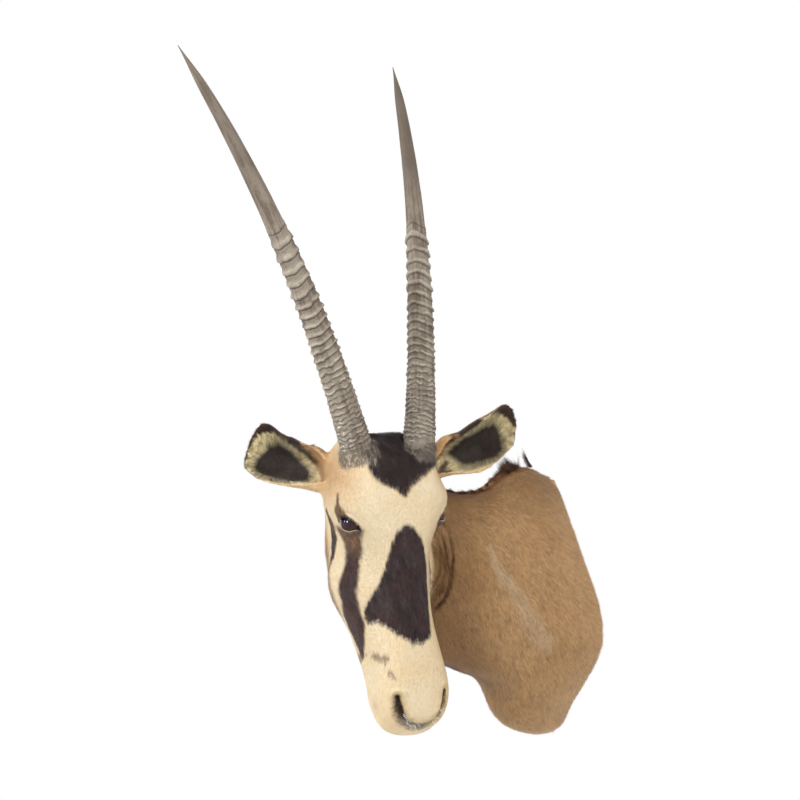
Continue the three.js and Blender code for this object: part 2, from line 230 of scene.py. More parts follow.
def grid_faces(rows, columns, closed=True):
    """Quads between rows of points, each row a ring if closed."""
    r, c = np.meshgrid(np.arange(rows - 1), np.arange(columns if closed else columns - 1), indexing="ij")
    a = (r * columns + c).ravel()
    b = (r * columns + (c + 1) % columns).ravel()
    return np.stack([a, b, b + columns, a + columns], axis=1)


# ---- Horns ----
HORN_LENGTH = 597
HORN_BASE = (48, 22, 0)
HORN_SHIFT = 1.5  # both horns stand this far to the animal's left
HORN_SINK = 30
HORN_RADII = (23.5, 21.6, 19.6, 18, 16.6, 14.8, 12.9, 11.2, 9.3, 6.6, 0.6)
HORN_FLATNESS = 0.92
HORN_BENDS = {RIGHT: (12.6, 9.9, -6, 18), LEFT: (10.4, -1.5, 0, 25)}  # spread, its gain, lean, its gain
HORN_STEPS = 64
RINGED_SHARE = 0.52
RING_COUNT = 29
RING_SPACING = (6.5, 21)
RING_CROWDING = 2.6
RING_HEIGHT = 3.3
RING_SLANT = 0.16
HORN_COLUMNS = 108
HORN_ROW_FINE = 1.15  # mm between rows of points on the ringed part
HORN_ROW_COARSE = 2.4
HORN_ROW_SUNK = 6.0
HORN_FINE_FROM = -12  # the fine rows start this far under the skin
HORN_PAST_RINGS = 14  # and end this far past the rings
HORN_TIP_ROWS = (5, 3.4, 2, 1, 0.4)  # mm from the tip

HORN_GREY = linear(142, 131, 116)
# Pale horn, for worn ridges that also carry a painted highlight.
HORN_PALE = linear(202, 192, 173)
# A dark horn brown, used for random dull patches and as painted shade in the ring grooves.
HORN_GROOVE = linear(62, 52, 44)
HORN_BROWN = linear(106, 91, 77)
# Pale flecks near the horns' base.
HORN_PALE_FLECKS = linear(226, 220, 206)
HORN_DARK_TOP = {RIGHT: 0.5, LEFT: 0.85}  # how brown each smooth upper part is


def horn_path(side):
    """Points along a horn's middle line, with the way it heads at each, in the head's frame."""
    spread, spread_gain, lean, lean_gain = HORN_BENDS[side]
    t = (np.arange(HORN_STEPS) + 0.5) / HORN_STEPS
    out = np.radians(spread + spread_gain * t)
    back = np.radians(lean + lean_gain * t)
    level = np.cos(back)
    headings = np.stack([side * np.sin(out) * level, np.sin(back), np.cos(out) * level], axis=1)
    start = np.array([side * HORN_BASE[0] + HORN_SHIFT, HORN_BASE[1], HORN_BASE[2]], float)
    points = np.vstack([start, start + np.cumsum(headings * HORN_LENGTH / HORN_STEPS, axis=0)])
    return points, headings


def horn_place(side, s):
    """The middle line's points, and its heading, at distances s from the base."""
    points, headings = horn_path(side)
    marks = np.linspace(0, HORN_LENGTH, HORN_STEPS + 1)
    place = np.stack([np.interp(s, marks, points[:, axis]) for axis in range(3)], axis=1)
    place += np.minimum(s, 0)[:, None] * headings[0]
    middles = (marks[1:] + marks[:-1]) / 2
    heading = unit(np.stack([np.interp(s, middles, headings[:, axis]) for axis in range(3)], axis=1))
    return place, heading


def horn_radius(s):
    """A smooth curve through the horn's radii."""
    t = np.clip(s / HORN_LENGTH, 0, 1) * (len(HORN_RADII) - 1)
    row = np.minimum(np.floor(t).astype(int), len(HORN_RADII) - 2)
    radii = np.array(HORN_RADII)
    a, b, c, d = (radii[np.clip(row + k, 0, len(radii) - 1)] for k in (-1, 0, 1, 2))
    f = t - row
    f2, f3 = f * f, f**3
    return (
        (2 * f3 - 3 * f2 + 1) * b
        + (f3 - 2 * f2 + f) * (c - a) / 2
        + (3 * f2 - 2 * f3) * c
        + (f3 - f2) * (d - b) / 2
    )


def ring_places():
    share = np.arange(RING_COUNT) / (RING_COUNT - 1)
    gaps = mix(RING_SPACING[0], RING_SPACING[1], share**RING_CROWDING)
    return np.cumsum(gaps * HORN_LENGTH * RINGED_SHARE / gaps.sum())


def round_horn(s, angle, radius=18):
    """Places on a straight rod, so that noise taken there has no seam."""
    return np.stack([np.cos(angle) * radius, np.sin(angle) * radius, s], axis=1)


def ring_relief(s, angle, side):
    """How far the horn's surface stands out for its rings, from 0 to 1, and how deep in a groove it is."""
    rings = ring_places()
    circle = round_horn(s, angle, 20)
    low = 1 - smoothstep(60, 190, s)
    waver = noise(circle, (9, 9, 16), 31 + side) * mix(1.6, 2.6, low)
    waver += noise(circle, (4, 4, 7), 37 + side) * mix(0.5, 1.7, low)
    slant = RING_SLANT * horn_radius(s) * (side * np.cos(angle))
    peak = -2.6 * np.cos(2 * (angle - 0.6 * side))
    shifted = s + slant + waver + peak * smoothstep(40, 200, s)
    below = np.concatenate([[0], rings])
    index = np.clip(np.searchsorted(below, shifted) - 1, 0, len(rings) - 1)
    gap = below[index + 1] - below[index]
    over = np.clip(shifted - below[index], 0, None)
    under = np.abs(below[index + 1] - shifted)
    lip = smoothstep(0, 1.8, over) * (1 - smoothstep(0.22, 0.72, over / gap)) ** 1.2
    foot = 0.35 * smoothstep(0.5, 0.05, under / gap)
    groove = np.exp(-((under / 1.2) ** 2)) + np.exp(-((over / 0.7) ** 2))
    knob = 0.85 + 0.5 * noise(circle + index[:, None] * 57.0, (10, 10, 9), 43 + side)
    gaps = noise(circle + index[:, None] * 31.0, (5, 5, 9), 47 + side)
    broken = mix(1, smoothstep(-0.75, 0.25, gaps), low)
    end = 1 - smoothstep(rings[-1] + 5, rings[-1] + 14, shifted)
    start = smoothstep(-4, 8, s)
    relief = (lip + foot) * knob * broken * end * start
    return relief, np.clip(groove, 0, 1) * mix(1, broken, 0.6) * end * start


def horn_rows():
    """How far from the horn's base each ring of its points lies."""
    ringed = HORN_LENGTH * RINGED_SHARE + HORN_PAST_RINGS
    return np.concatenate(
        [
            np.arange(-HORN_SINK, HORN_FINE_FROM, HORN_ROW_SUNK),
            np.arange(HORN_FINE_FROM, ringed, HORN_ROW_FINE),
            np.arange(ringed, HORN_LENGTH - 6, HORN_ROW_COARSE),
            HORN_LENGTH - np.array(HORN_TIP_ROWS),
        ]
    )


def horn_girth(s, angle, side, relief, groove):
    """The horn's radius with its rings, grooves and grain."""
    circle = round_horn(s, angle)
    fade = smoothstep(4, 12, horn_radius(s))
    ringed = 1 - smoothstep(290, 340, s)
    height = RING_HEIGHT * mix(0.5, 1, smoothstep(40, 170, s))
    radius = horn_radius(s) + relief * height - groove * 0.8 - 0.4 * ringed
    radius += rough_noise(circle, (3.0, 3.0, 30), 61 + side) * 0.4 * fade
    flaky = mix(0.2, 0.75, 1 - smoothstep(60, 260, s))
    return radius + rough_noise(circle, (3.2, 3.2, 1.8), 67 + side) * flaky * fade


def make_horn(name, side):
    rows = horn_rows()
    angles = np.linspace(0, 2 * math.pi, HORN_COLUMNS, endpoint=False)
    s, angle = np.repeat(rows, HORN_COLUMNS), np.tile(angles, len(rows))
    relief, groove = ring_relief(s, angle, side)
    radius = horn_girth(s, angle, side, relief, groove)
    place, heading = horn_place(side, s)
    across = unit(np.cross([0, 1, 0], heading))
    deep = np.cross(heading, across)
    points = (
        place
        + across * (radius * HORN_FLATNESS * np.cos(angle))[:, None]
        + deep * (radius * np.sin(angle))[:, None]
    )
    ends, _ = horn_place(side, np.array([-HORN_SINK, HORN_LENGTH], float))
    mesh = new_mesh(name, to_row(np.vstack([points, ends])), grid_faces(len(rows), HORN_COLUMNS))
    close_ends(mesh, len(rows), HORN_COLUMNS)
    colours = horn_colours(s, angle, side, relief, groove)
    set_colours(mesh, np.vstack([colours, HORN_GREY, HORN_GREY]))
    return new_object(name, mesh)


def close_ends(mesh, rows, columns):
    """Fans of triangles from the last two points to the first and last rows."""
    bm = bmesh.new()
    bm.from_mesh(mesh)
    bm.verts.ensure_lookup_table()
    total = rows * columns
    foot, tip = bm.verts[total], bm.verts[total + 1]
    for i in range(columns):
        j = (i + 1) % columns
        bm.faces.new((foot, bm.verts[j], bm.verts[i])).smooth = True
        bm.faces.new((tip, bm.verts[total - columns + i], bm.verts[total - columns + j])).smooth = True
    bmesh.ops.recalc_face_normals(bm, faces=bm.faces)
    bm.to_mesh(mesh)
    bm.free()


def horn_colours(s, angle, side, relief, groove):
    circle = round_horn(s, angle)
    streaks = rough_noise(circle, (2.6, 2.6, 60), 71 + side)
    mottle = rough_noise(circle, (14, 14, 26), 73 + side)
    specks = noise(circle, (1.7, 1.7, 2.2), 79 + side)
    fibres = rough_noise(circle, (5, 5, 1.6), 83 + side)
    colour = tinted(HORN_GREY, HORN_BROWN, smoothstep(-0.3, 0.6, mottle + streaks * 0.8))
    ringed = 1 - smoothstep(310, 335, s)
    low = 1 - smoothstep(60, 200, s)
    # pale ridges: partly real wear, partly a painted highlight on the raised rings
    ridge_wear_and_highlight = smoothstep(0.35, 0.95, relief + specks * 0.25 + fibres * 0.35 * low)
    ridge_wear_and_highlight = ridge_wear_and_highlight * mix(0.1, mix(0.42, 0.75, low), ringed)
    colour = tinted(colour, HORN_PALE, ridge_wear_and_highlight)
    # painted shade: the grooves between the rings are darkened
    colour = tinted(colour, HORN_GROOVE, groove * 0.85)
    dull = smoothstep(0.05, 0.6, specks * 0.7 + mottle * 0.4 + fibres * 0.5) * 0.4
    colour = tinted(colour, HORN_GROOVE, dull)
    # pale flecks near the base, only on the side towards the animal's right
    pale_flecks = smoothstep(0.25, 0.6, fibres + 0.3 * specks) * smoothstep(110, 30, s)
    pale_flecks = pale_flecks * smoothstep(-0.2, -0.8, np.cos(angle))
    colour = tinted(colour, HORN_PALE_FLECKS, pale_flecks * 0.8)
    upper = smoothstep(290, 430, s) * HORN_DARK_TOP[side]
    return tinted(colour, HORN_BROWN * 0.75, upper)


# ---- Ears, as in the model ----
EAR_LENGTH = 157
EAR_THICKNESS = 5
EAR_HALVES = (15, 17, 25, 33, 36.5, 35.5, 29)
EAR_WRAPS = (2.75, 2.5, 1.95, 1.5, 1.25, 1.1, 0.95)
EARS = {
    RIGHT: ((-60, 52, -36), (-0.54, 0.73, 0.41), (-0.43, -0.89, 0.1)),
    LEFT: ((62, 44, -44), (0.9, -0.2, 0.4), (-0.2, -0.9, -0.3)),
}


def ear_axes(side):
    root, tipward, opens = (np.array(v, float) for v in EARS[side])
    tipward = unit(tipward)
    back = -opens
    back = unit(back - tipward * (back @ tipward))
    return root, np.stack([np.cross(back, tipward), back, tipward])


EAR_HOLLOWS = {  # (across, along) in mm, as seen from in front of each ear
    RIGHT: (
        (-17, 56), (-3, 63), (6, 81), (17, 102), (18, 122), (11, 136), (-2, 142), (-15, 144),
        (-27, 140), (-35, 127), (-36, 110), (-36, 93), (-30, 74), (-22, 63),
    ),
    LEFT: (
        (5, 52), (-3, 60), (-7, 80), (-7, 101), (-8, 115), (-5, 131), (5, 135), (21, 130), (32, 122),
        (36, 107), (35, 90), (31, 74), (23, 59),
    ),
}
EAR_FACES = {  # the fringed inner faces, inside the dark rims
    RIGHT: (
        (-19, 38), (-9, 43), (4, 55), (13, 69), (18, 84), (24, 99), (29, 113), (30, 126), (27, 142),
        (18, 156), (5, 161), (-9, 160), (-27, 153), (-37, 143), (-41, 127), (-42, 100), (-41, 78),
        (-31, 46), (-28, 30),
    ),
    LEFT: (
        (1, 43), (-9, 54), (-14, 71), (-18, 89), (-21, 106), (-27, 113), (-27, 124), (-24, 136), (-19, 139),
        (-11, 146), (-2, 151), (7, 154), (15, 153), (28, 141), (36, 127), (40, 111), (40, 97), (40, 80),
        (33, 50), (19, 22), (8, 22),
    ),
}
# Where the rims turn dark: mm along, on each side of the middle, and how fast that rises across.
EAR_DARK_FROM = {RIGHT: (105, 60, 1.2), LEFT: (58, 84, 0)}
# The dark bands on the upper edges: start, end and reach.
EAR_BANDS = {RIGHT: ((25, 84), (34, 140), 6), LEFT: ((-26, 64), (-26, 102), 9)}
# The slit at the left ear's root is painted dark as a shadow.
EAR_NOTCH_SHADOW = ((17, 20), (13, 43))  # the slit at the root of the left ear


def ear_local(points, side):
    """Head-frame points along an ear's own axes: across it, behind its opening and towards its tip."""
    root, axes = ear_axes(side)
    return (points - root) @ axes.T


def ear_curl(share):
    """Half the angle that an ear curls round, and the curl's radius, at each share along it."""
    marks = np.linspace(0, 1, len(EAR_HALVES))
    wrap = np.interp(share, marks, EAR_WRAPS)
    return wrap, np.interp(share, marks, EAR_HALVES) / np.sin(np.minimum(wrap, math.pi / 2))


def ear_place(points, side):
    """Places on an ear: its own axes, share along it, share across it and height over its inner face."""
    local = ear_local(points, side)
    share = local[:, 2] / EAR_LENGTH
    wrap, radius = ear_curl(share)
    depth = local[:, 1] + radius * np.cos(wrap)
    angle = np.arctan2(local[:, 0], depth)
    return local, share, angle / wrap, np.hypot(local[:, 0], depth) - radius


def right_ear_shift(share, x):
    """How far across and along the right ear each place moves."""
    middle = smoothstep(0.3, 0.5, share) * smoothstep(0.86, 0.68, share)
    across = -10 * middle * smoothstep(0, 30, x)
    across = across + 4 * smoothstep(0.74, 0.9, share) * smoothstep(5, 25, x)
    across = across - 2 * smoothstep(0.5, 0.8, share) * smoothstep(0, -25, x)
    return across, smoothstep(0.65, 0.95, share) * (7 + 3 * smoothstep(-15, 20, x))


def left_ear_shift(share, x):
    """How far across and along the left ear each place moves."""
    upper = smoothstep(0.3, 0.5, share) * smoothstep(0.97, 0.75, share) * smoothstep(0, -28, x)
    across = 11 * upper + 4 * np.exp(-(((share - 0.5) / 0.15) ** 2)) * smoothstep(0, 25, x)
    along = smoothstep(0.75, 0.97, share) * (4.5 + 3 * smoothstep(5, -15, x))
    return across, along - 6 * smoothstep(0.55, 0.8, share) * smoothstep(5, 28, x)


def ears_reshaped(points):
    """Ears with narrower upper edges and blunt, cornered tips."""
    points = points.copy()
    for side, shift in ((RIGHT, right_ear_shift), (LEFT, left_ear_shift)):
        local, share, across, _ = ear_place(points, side)
        weight = ear_share(points, side) * smoothstep(1.35, 1.1, np.abs(across))
        shift_x, shift_z = shift(share, local[:, 0])
        _, axes = ear_axes(side)
        points += weight[:, None] * (shift_x[:, None] * axes[0] + shift_z[:, None] * axes[2])
    return points


FACE_SPREAD = 6  # how far each face of an ear is set off from its middle layer


def ears_sorted(points, normals):
    """Places for colours and hair, with each ear's two faces set clearly apart."""
    points = points.copy()
    for side in (RIGHT, LEFT):
        root, axes = ear_axes(side)
        local, share, across, _ = ear_place(points, side)
        wrap, radius = ear_curl(share)
        angle = across * wrap
        outward = np.stack([np.sin(angle), np.cos(angle), angle * 0], axis=1)
        facing = np.clip((normals @ axes.T * outward).sum(axis=1) * 1.6, -1, 1)
        reach = radius + EAR_THICKNESS / 2 + FACE_SPREAD * facing
        before = local[:, 1] + radius * np.cos(wrap)
        depth = np.sqrt(np.maximum(reach**2 - local[:, 0] ** 2, 0)) * np.sign(before)
        moved = local.copy()
        moved[:, 1] = depth - radius * np.cos(wrap)
        weight = ear_share(points, side)[:, None]
        points = mix(points, root + mix(local, moved, weight) @ axes, weight > 0)
    return points


def ear_share(points, side):
    """1 on the free part of an ear, falling to 0 at its root."""
    _, share, across, height = ear_place(points, side)
    edge = mix(1.1, 1.6, smoothstep(0.5, 0.75, share))
    near = smoothstep(18, 9, np.abs(height - EAR_THICKNESS / 2))
    near = near * smoothstep(edge + 0.25, edge, np.abs(across))
    return near * smoothstep(0.06, 0.2, share) * smoothstep(1.22, 1.14, share)


# ---- The skin ----
EYE_RADIUS = 16.5
EYE_AT = (59.6, 30.5, -102.5)
EYE_GAZE = (0.8, -0.58, 0.12)
EYE_FRONTWARD = (-0.52, -0.58, -0.62)  # towards the front corner
LID_THICKNESS = 1.7
LID_SWELL, LID_CREASE = 0.9, 0.4  # the roll round the opening and the crease above it
LID_SUNK = 8  # how far the skin is pushed in behind the eyeball's surface
EYE_CORNERS = (-10.4, 17.0)  # back and front ends of the opening
UPPER_LID = ((-10.4, -1.5), (-9.4, 2.8), (-4.1, 5.9), (5.4, 6.4), (11.2, 5.0), (14.5, 2.6), (16.2, 0.2))
LOWER_LID = ((14.0, 0.0), (12.1, -2.4), (6.9, -7.7), (1.0, -9.9), (-4.0, -10.2), (-7.8, -8.6), (-9.8, -5.5))
PLUG_STRETCH = np.array([1.02, 1.25, 1.02])  # the block that fills the hollow for the board
PLUG_SHIFT = np.array([0, 3.8, 0])
SOCKET_GAP = 0.9
SKIN_VOXEL = 3.0
SKIN_SMOOTHING = 26
SKIN_KEPT = 0.6  # share of the even mesh's triangles that is kept
SKIN_REGROWTH = 1.0
EYE_REFINED = 31
MUZZLE_TOP = -318
NOSTRIL = ((35, 10, -338), (34, 12, -350), (30, 16, -361), (23, 18, -369), (13, 20, -375), (0, 21, -378))
NOSTRIL_REFINED = 15
NOSTRIL_WIDTHS = (2.6, 5.0)
NOSTRIL_DEPTHS = (1.6, 6)
NOSTRIL_WING = 1.6  # how far the edge stands up
LEFT_NOSTRIL_WIDTH = 0.6  # of the right one's
NOSTRIL_END = 0.66  # share of the path where the opening ends and the bare line under the nose starts
MOUTH_DEPTH, LIP_SWELL = 3.2, 1.3
MOUTH = ((0, 50, -396), (20, 54, -392), (37, 64, -378), (46, 78, -354), (49, 92, -324))


def eye_axes(side):
    centre = np.array([side * EYE_AT[0], EYE_AT[1], EYE_AT[2]], float)
    gaze = unit([side * EYE_GAZE[0], EYE_GAZE[1], EYE_GAZE[2]])
    front = np.array([side * EYE_FRONTWARD[0], EYE_FRONTWARD[1], EYE_FRONTWARD[2]], float)
    front = unit(front - gaze * (front @ gaze))
    up = np.cross(gaze, front)
    return centre, front, up if up[2] > 0 else -up, gaze


def eye_opening(points, side):
    """Each point's place in the eye's own axes, and its distance inside the almond between the lids."""
    centre, front, up, gaze = eye_axes(side)
    local = points - centre
    a, b, c = local @ front, local @ up, local @ gaze
    return a, b, c, inside_distance(np.stack([a, b], axis=1), UPPER_LID + LOWER_LID)


def cylinder_points(start, end, radius, sides=24):
    along = unit(end - start)
    across = unit(np.cross(along, [0, 1, 0]))
    deep = np.cross(along, across)
    angle = np.linspace(0, 2 * math.pi, sides, endpoint=False)[:, None]
    ring = (across * np.cos(angle) + deep * np.sin(angle)) * radius
    points = np.vstack([start + ring, end + ring, start, end])
    quads = grid_faces(2, sides)
    i = np.arange(sides)
    j = (i + 1) % sides
    foot = np.stack([np.full(sides, sides * 2), j, i], axis=1)
    top = np.stack([np.full(sides, sides * 2 + 1), sides + i, sides + j], axis=1)
    walls = np.vstack([quads[:, [0, 1, 2]], quads[:, [0, 2, 3]]])
    return points, np.vstack([walls, foot, top])


def ball_points(centre, radius, rows=16, columns=24):
    polar = np.linspace(0.02, math.pi - 0.02, rows)[:, None]
    angle = np.linspace(0, 2 * math.pi, columns, endpoint=False)[None, :]
    x = np.sin(polar) * np.cos(angle)
    y = np.sin(polar) * np.sin(angle)
    z = np.cos(polar) * np.ones_like(angle)
    points = centre + radius * np.stack([x, y, z], axis=-1).reshape(-1, 3)
    quads = grid_faces(rows, columns)
    triangles = np.vstack([quads[:, [0, 1, 2]], quads[:, [0, 2, 3]]])
    points = np.vstack([points, centre + [0, 0, radius], centre - [0, 0, radius]])
    i = np.arange(columns)
    j = (i + 1) % columns
    top = np.stack([np.full(columns, rows * columns), i, j], axis=1)
    last = (rows - 1) * columns
    foot = np.stack([np.full(columns, rows * columns + 1), last + j, last + i], axis=1)
    return points, np.vstack([triangles, top, foot])


def board_plug():
    """A block that fills the skin's hollow for the board."""
    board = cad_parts["back_board"].data
    points = points_of(board)
    middle = (points.min(axis=0) + points.max(axis=0)) / 2
    return middle + (points - middle) * PLUG_STRETCH - PLUG_SHIFT, triangles_of(board)


def skin_blank():
    """The model's skin with its sockets and the board's hollow filled, as one loose set of triangles."""
    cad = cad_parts["head_and_neck_skin"].data
    shapes = [(points_of(cad), triangles_of(cad)), board_plug()]
    for side in (RIGHT, LEFT):
        ends, _ = horn_place(side, np.array([-HORN_SINK - 2.0, 3.0]))
        points, triangles = cylinder_points(ends[0], ends[1], HORN_RADII[0] - 0.5)
        shapes.append((to_row(points), triangles))
        points, triangles = ball_points(eye_axes(side)[0], EYE_RADIUS + SOCKET_GAP)
        shapes.append((to_row(points), triangles))
    starts = np.cumsum([0] + [len(points) for points, _ in shapes])
    points = np.vstack([points for points, _ in shapes])
    triangles = np.vstack([triangles + start for (_, triangles), start in zip(shapes, starts)])
    return new_mesh("blank", points, triangles)


def modified(mesh, kind, **settings):
    """A new mesh: the given one after a modifier of that kind."""
    obj = new_object("blank", mesh)
    modifier = obj.modifiers.new("change", kind)
    for name, value in settings.items():
        setattr(modifier, name, value)
    graph = bpy.context.evaluated_depsgraph_get()
    result = bpy.data.meshes.new_from_object(obj.evaluated_get(graph))
    bpy.data.objects.remove(obj)
    return result


def smoothed(points, edges, weight, rounds):
    """Each point drawn towards its neighbours' middle, by its weight."""
    ends = edges.T
    count = np.bincount(edges.ravel(), minlength=len(points))[:, None]
    for _ in range(rounds):
        sums = [
            sum(np.bincount(here, points[there, axis], len(points)) for here, there in (ends, ends[::-1]))
            for axis in range(3)
        ]
        points = points + (np.stack(sums, axis=1) / np.maximum(count, 1) - points) * weight[:, None]
    return points


def refined(mesh, near):
    """Splits the faces whose points near() picks, given head-frame points."""
    bm = bmesh.new()
    bm.from_mesh(mesh)
    points = to_head(points_of(mesh))
    chosen = near(points)
    edges = [e for e in bm.edges if chosen[e.verts[0].index] and chosen[e.verts[1].index]]
    bmesh.ops.subdivide_edges(bm, edges=edges, cuts=1, use_grid_fill=True)
    bm.to_mesh(mesh)
    bm.free()


def near_eyes(points, reach):
    x = np.stack([np.abs(points[:, 0]), points[:, 1], points[:, 2]], axis=1)
    return np.linalg.norm(x - EYE_AT, axis=1) < reach


def mirrored(points):
    """Head-frame points folded onto the animal's left."""
    folded = points.copy()
    folded[:, 0] = np.abs(folded[:, 0])
    return folded


def make_skin():
    mesh = modified(skin_blank(), "REMESH", mode="VOXEL", voxel_size=SKIN_VOXEL * MM)
    points = points_of(mesh)
    head = to_head(points)
    ear = np.maximum(ear_share(head, RIGHT), ear_share(head, LEFT))
    weight = 0.6 * (1 - 0.85 * ear) * smoothstep(-1, -16, points[:, 1])
    points = smoothed(points, edges_of(mesh), weight, SKIN_SMOOTHING)
    set_points(mesh, points)
    regrow = SKIN_REGROWTH * (1 - ear) * smoothstep(-1, -16, points[:, 1])
    set_points(mesh, points + normals_of(mesh) * regrow[:, None])
    set_points(mesh, to_row(ears_reshaped(to_head(points_of(mesh)))))
    mesh = modified(mesh, "DECIMATE", ratio=SKIN_KEPT)
    refined(mesh, lambda p: near_eyes(p, EYE_REFINED) | (p[:, 2] < MUZZLE_TOP) | near_folds(p))
    refined(mesh, lambda p: near_eyes(p, EYE_REFINED - 4) | near_nostrils(p) | near_folds(p))
    homes = ears_sorted(to_head(points_of(mesh)), normals_of(mesh) @ HEAD_AXES)
    for shape in (pushed, lids_shaped, nostrils_shaped, mouth_shaped, neck_folded):
        set_points(mesh, to_row(shape(to_head(points_of(mesh)), normals_of(mesh) @ HEAD_AXES)))
    mesh.name = "stuffed_skin"
    return new_object("stuffed_skin", mesh), homes


def near_nostrils(points):
    return path_distance(mirrored(points), NOSTRIL)[0] < NOSTRIL_REFINED


def lids_shaped(points, normals):
    """Lids that wrap the eyeball, with an almond opening sunk inside it."""
    points = points.copy()
    reach = EYE_RADIUS + LID_THICKNESS
    for side in (RIGHT, LEFT):
        centre, _, _, gaze = eye_axes(side)
        near = np.linalg.norm(points - centre, axis=1) < EYE_REFINED + 6
        near &= (points[:, 0] * side > 0) & (normals @ gaze > -0.2)
        a, b, c, inside = eye_opening(points[near], side)
        rho = np.hypot(a, b)
        ball = np.sqrt(np.maximum(reach**2 - rho**2, 0))
        hold = smoothstep(reach + 1, reach - 5, rho)
        lid = mix(c, np.maximum(c, ball), hold)
        lid = lid + LID_SWELL * np.exp(-(((inside + 1.6) / 1.3) ** 2)) * hold
        lid = lid - LID_CREASE * np.exp(-(((inside + 7.5) / 1.8) ** 2)) * smoothstep(-2, 6, b)
        new = mix(lid, np.minimum(lid, ball - LID_SUNK), smoothstep(-0.5, 0.9, inside))
        points[near] += (new - c)[:, None] * gaze
    return points


def nostrils_shaped(points, normals):
    distance, where = path_distance(mirrored(points), NOSTRIL)
    opening = smoothstep(NOSTRIL_END + 0.1, NOSTRIL_END - 0.1, where)
    width = mix(*NOSTRIL_WIDTHS, opening * smoothstep(0, 0.3, where))
    width = width * mix(1, LEFT_NOSTRIL_WIDTH, smoothstep(0, 15, points[:, 0]))
    pit = np.exp(-((distance / width) ** 2)) * mix(*NOSTRIL_DEPTHS, opening)
    wing = NOSTRIL_WING * np.exp(-(((distance - 8) / 3.5) ** 2)) * opening
    return points + normals * (wing - pit)[:, None]


def mouth_shaped(points, normals):
    distance, where = path_distance(mirrored(points), MOUTH)
    front = points[:, 2] < MUZZLE_TOP + 8
    groove = MOUTH_DEPTH * np.exp(-((distance / 2.4) ** 2)) * smoothstep(1, 0.85, where) * front
    lip = LIP_SWELL * np.exp(-(((distance - 7) / 4) ** 2)) * smoothstep(1, 0.8, where) * front
    return points + normals * (lip - groove)[:, None]


# Small pushes that fill out or draw in the form: frame, centre, reach and shift, in mm.
PUSHES = (
    ("head", (-60, 88, -184), (40, 42, 44), (-12, 2, 0)),
    ("head", (60, 88, -184), (40, 42, 44), (12, 2, 0)),
    ("head", (-80, 78, -52), (26, 26, 20), (-2, 2, -7)),
    ("head", (-80, 62, -72), (18, 30, 20), (-4, 0, 0)),
    ("head", (24, 16, 6), (24, 34, 30), (0, 0, -14)),
    ("head", (6, 18, 10), (18, 30, 24), (0, 0, -9)),
    ("head", (66, 34, -80), (20, 30, 20), (6.5, 0, 0)),
    ("head", (-66, 34, -80), (20, 30, 20), (-2, 0, 0)),
    ("head", (-52, 62, -290), (24, 40, 34), (4.5, 0, 0)),
    ("head", (44, 40, -330), (24, 40, 40), (2.5, 0, 0)),
    ("row", (0, -165, -105), (70, 36, 36), (0, 2, 2.5)),
    ("row", (-44, -104, -126), (40, 40, 36), (6, 6, 4)),
    ("row", (40, -60, -190), (60, 60, 24), (0, 0, -2.5)),
    ("row", (8, -134, -134), (70, 36, 34), (0, 10, 16)),
    ("row", (30, -4, 140), (44, 60, 44), (-6, 0, 0)),
    ("row", (4, 0, 195), (60, 40, 30), (0, 0, -8)),
    ("row", (104, -8, -64), (50, 60, 40), (4, 0, 0)),
    ("row", (4, -120, 165), (60, 26, 40), (0, 0, -6)),
    ("row", (-5, -8, 182), (34, 50, 26), (-9, 0, -4)),
    ("row", (96, -8, 0), (50, 60, 62), (7, 0, 0)),
    ("row", (92, -8, -162), (44, 60, 30), (-12, 0, 5)),
)


def pushed(points, _normals):
    for space, centre, reach, shift in PUSHES:
        place = points if space == "head" else to_row(points)
        share = np.exp(-(((place - centre) / reach) ** 2).sum(axis=1))[:, None]
        move = np.array(shift, float) if space == "head" else np.array(shift, float) @ HEAD_AXES
        points = points + share * move
    return points


# ---- The creased skin behind the left cheek, in the row's frame ----
FOLD_AT = np.array([30.0, -255.0, 71.0])  # the middle of the arcs
FOLD_ARCS = ((43, 1.0), (35, 0.8), (27, 0.75), (19, 0.7))  # radius of each crease and its strength
FOLD_STRETCH = 1.7  # the arcs are this much taller than wide
FOLD_DEPTH = 2.6
FOLD_SWELL = 1.1
NECK_WAVES = 1.4  # low, wide swells all over the neck


def fold_pattern(row):
    """How deep in a crease each place is, and how far up on the roll beside one, from 0 to 1."""
    offset = row - FOLD_AT
    across, up = offset @ NECK_ACROSS, offset[:, 2] / FOLD_STRETCH
    spread = np.hypot(across, up)
    bearing = np.arctan2(up, across)
    reach = smoothstep(-1.45, -0.9, bearing) * smoothstep(1.35, 0.8, bearing)
    reach = reach * smoothstep(-20, 5, row[:, 0])
    crease, roll = np.zeros(len(row)), np.zeros(len(row))
    for index, (radius, strength) in enumerate(FOLD_ARCS):
        gap = np.abs(spread - radius + noise(row, 26, 91 + index) * 2.2)
        broken = smoothstep(-0.8, 0.1, noise(row, 22, 95 + index))
        crease = np.maximum(crease, np.exp(-((gap / 1.5) ** 2)) * strength * broken)
        roll = np.maximum(roll, np.exp(-(((gap - 3.6) / 2) ** 2)) * strength * broken)
    return crease * reach, roll * reach


def near_folds(points):
    crease, roll = fold_pattern(to_row(points))
    return crease + roll > 0.05


def neck_folded(points, normals):
    row = to_row(points)
    crease, roll = fold_pattern(row)
    neck = 1 - head_share(points)
    for side in (RIGHT, LEFT):
        neck = neck * (1 - ear_share(points, side))
    broad = noise(row, 55, 97) * NECK_WAVES * smoothstep(-4, -30, row[:, 1])
    return points + normals * ((FOLD_SWELL * roll - FOLD_DEPTH * crease + broad) * neck)[:, None]


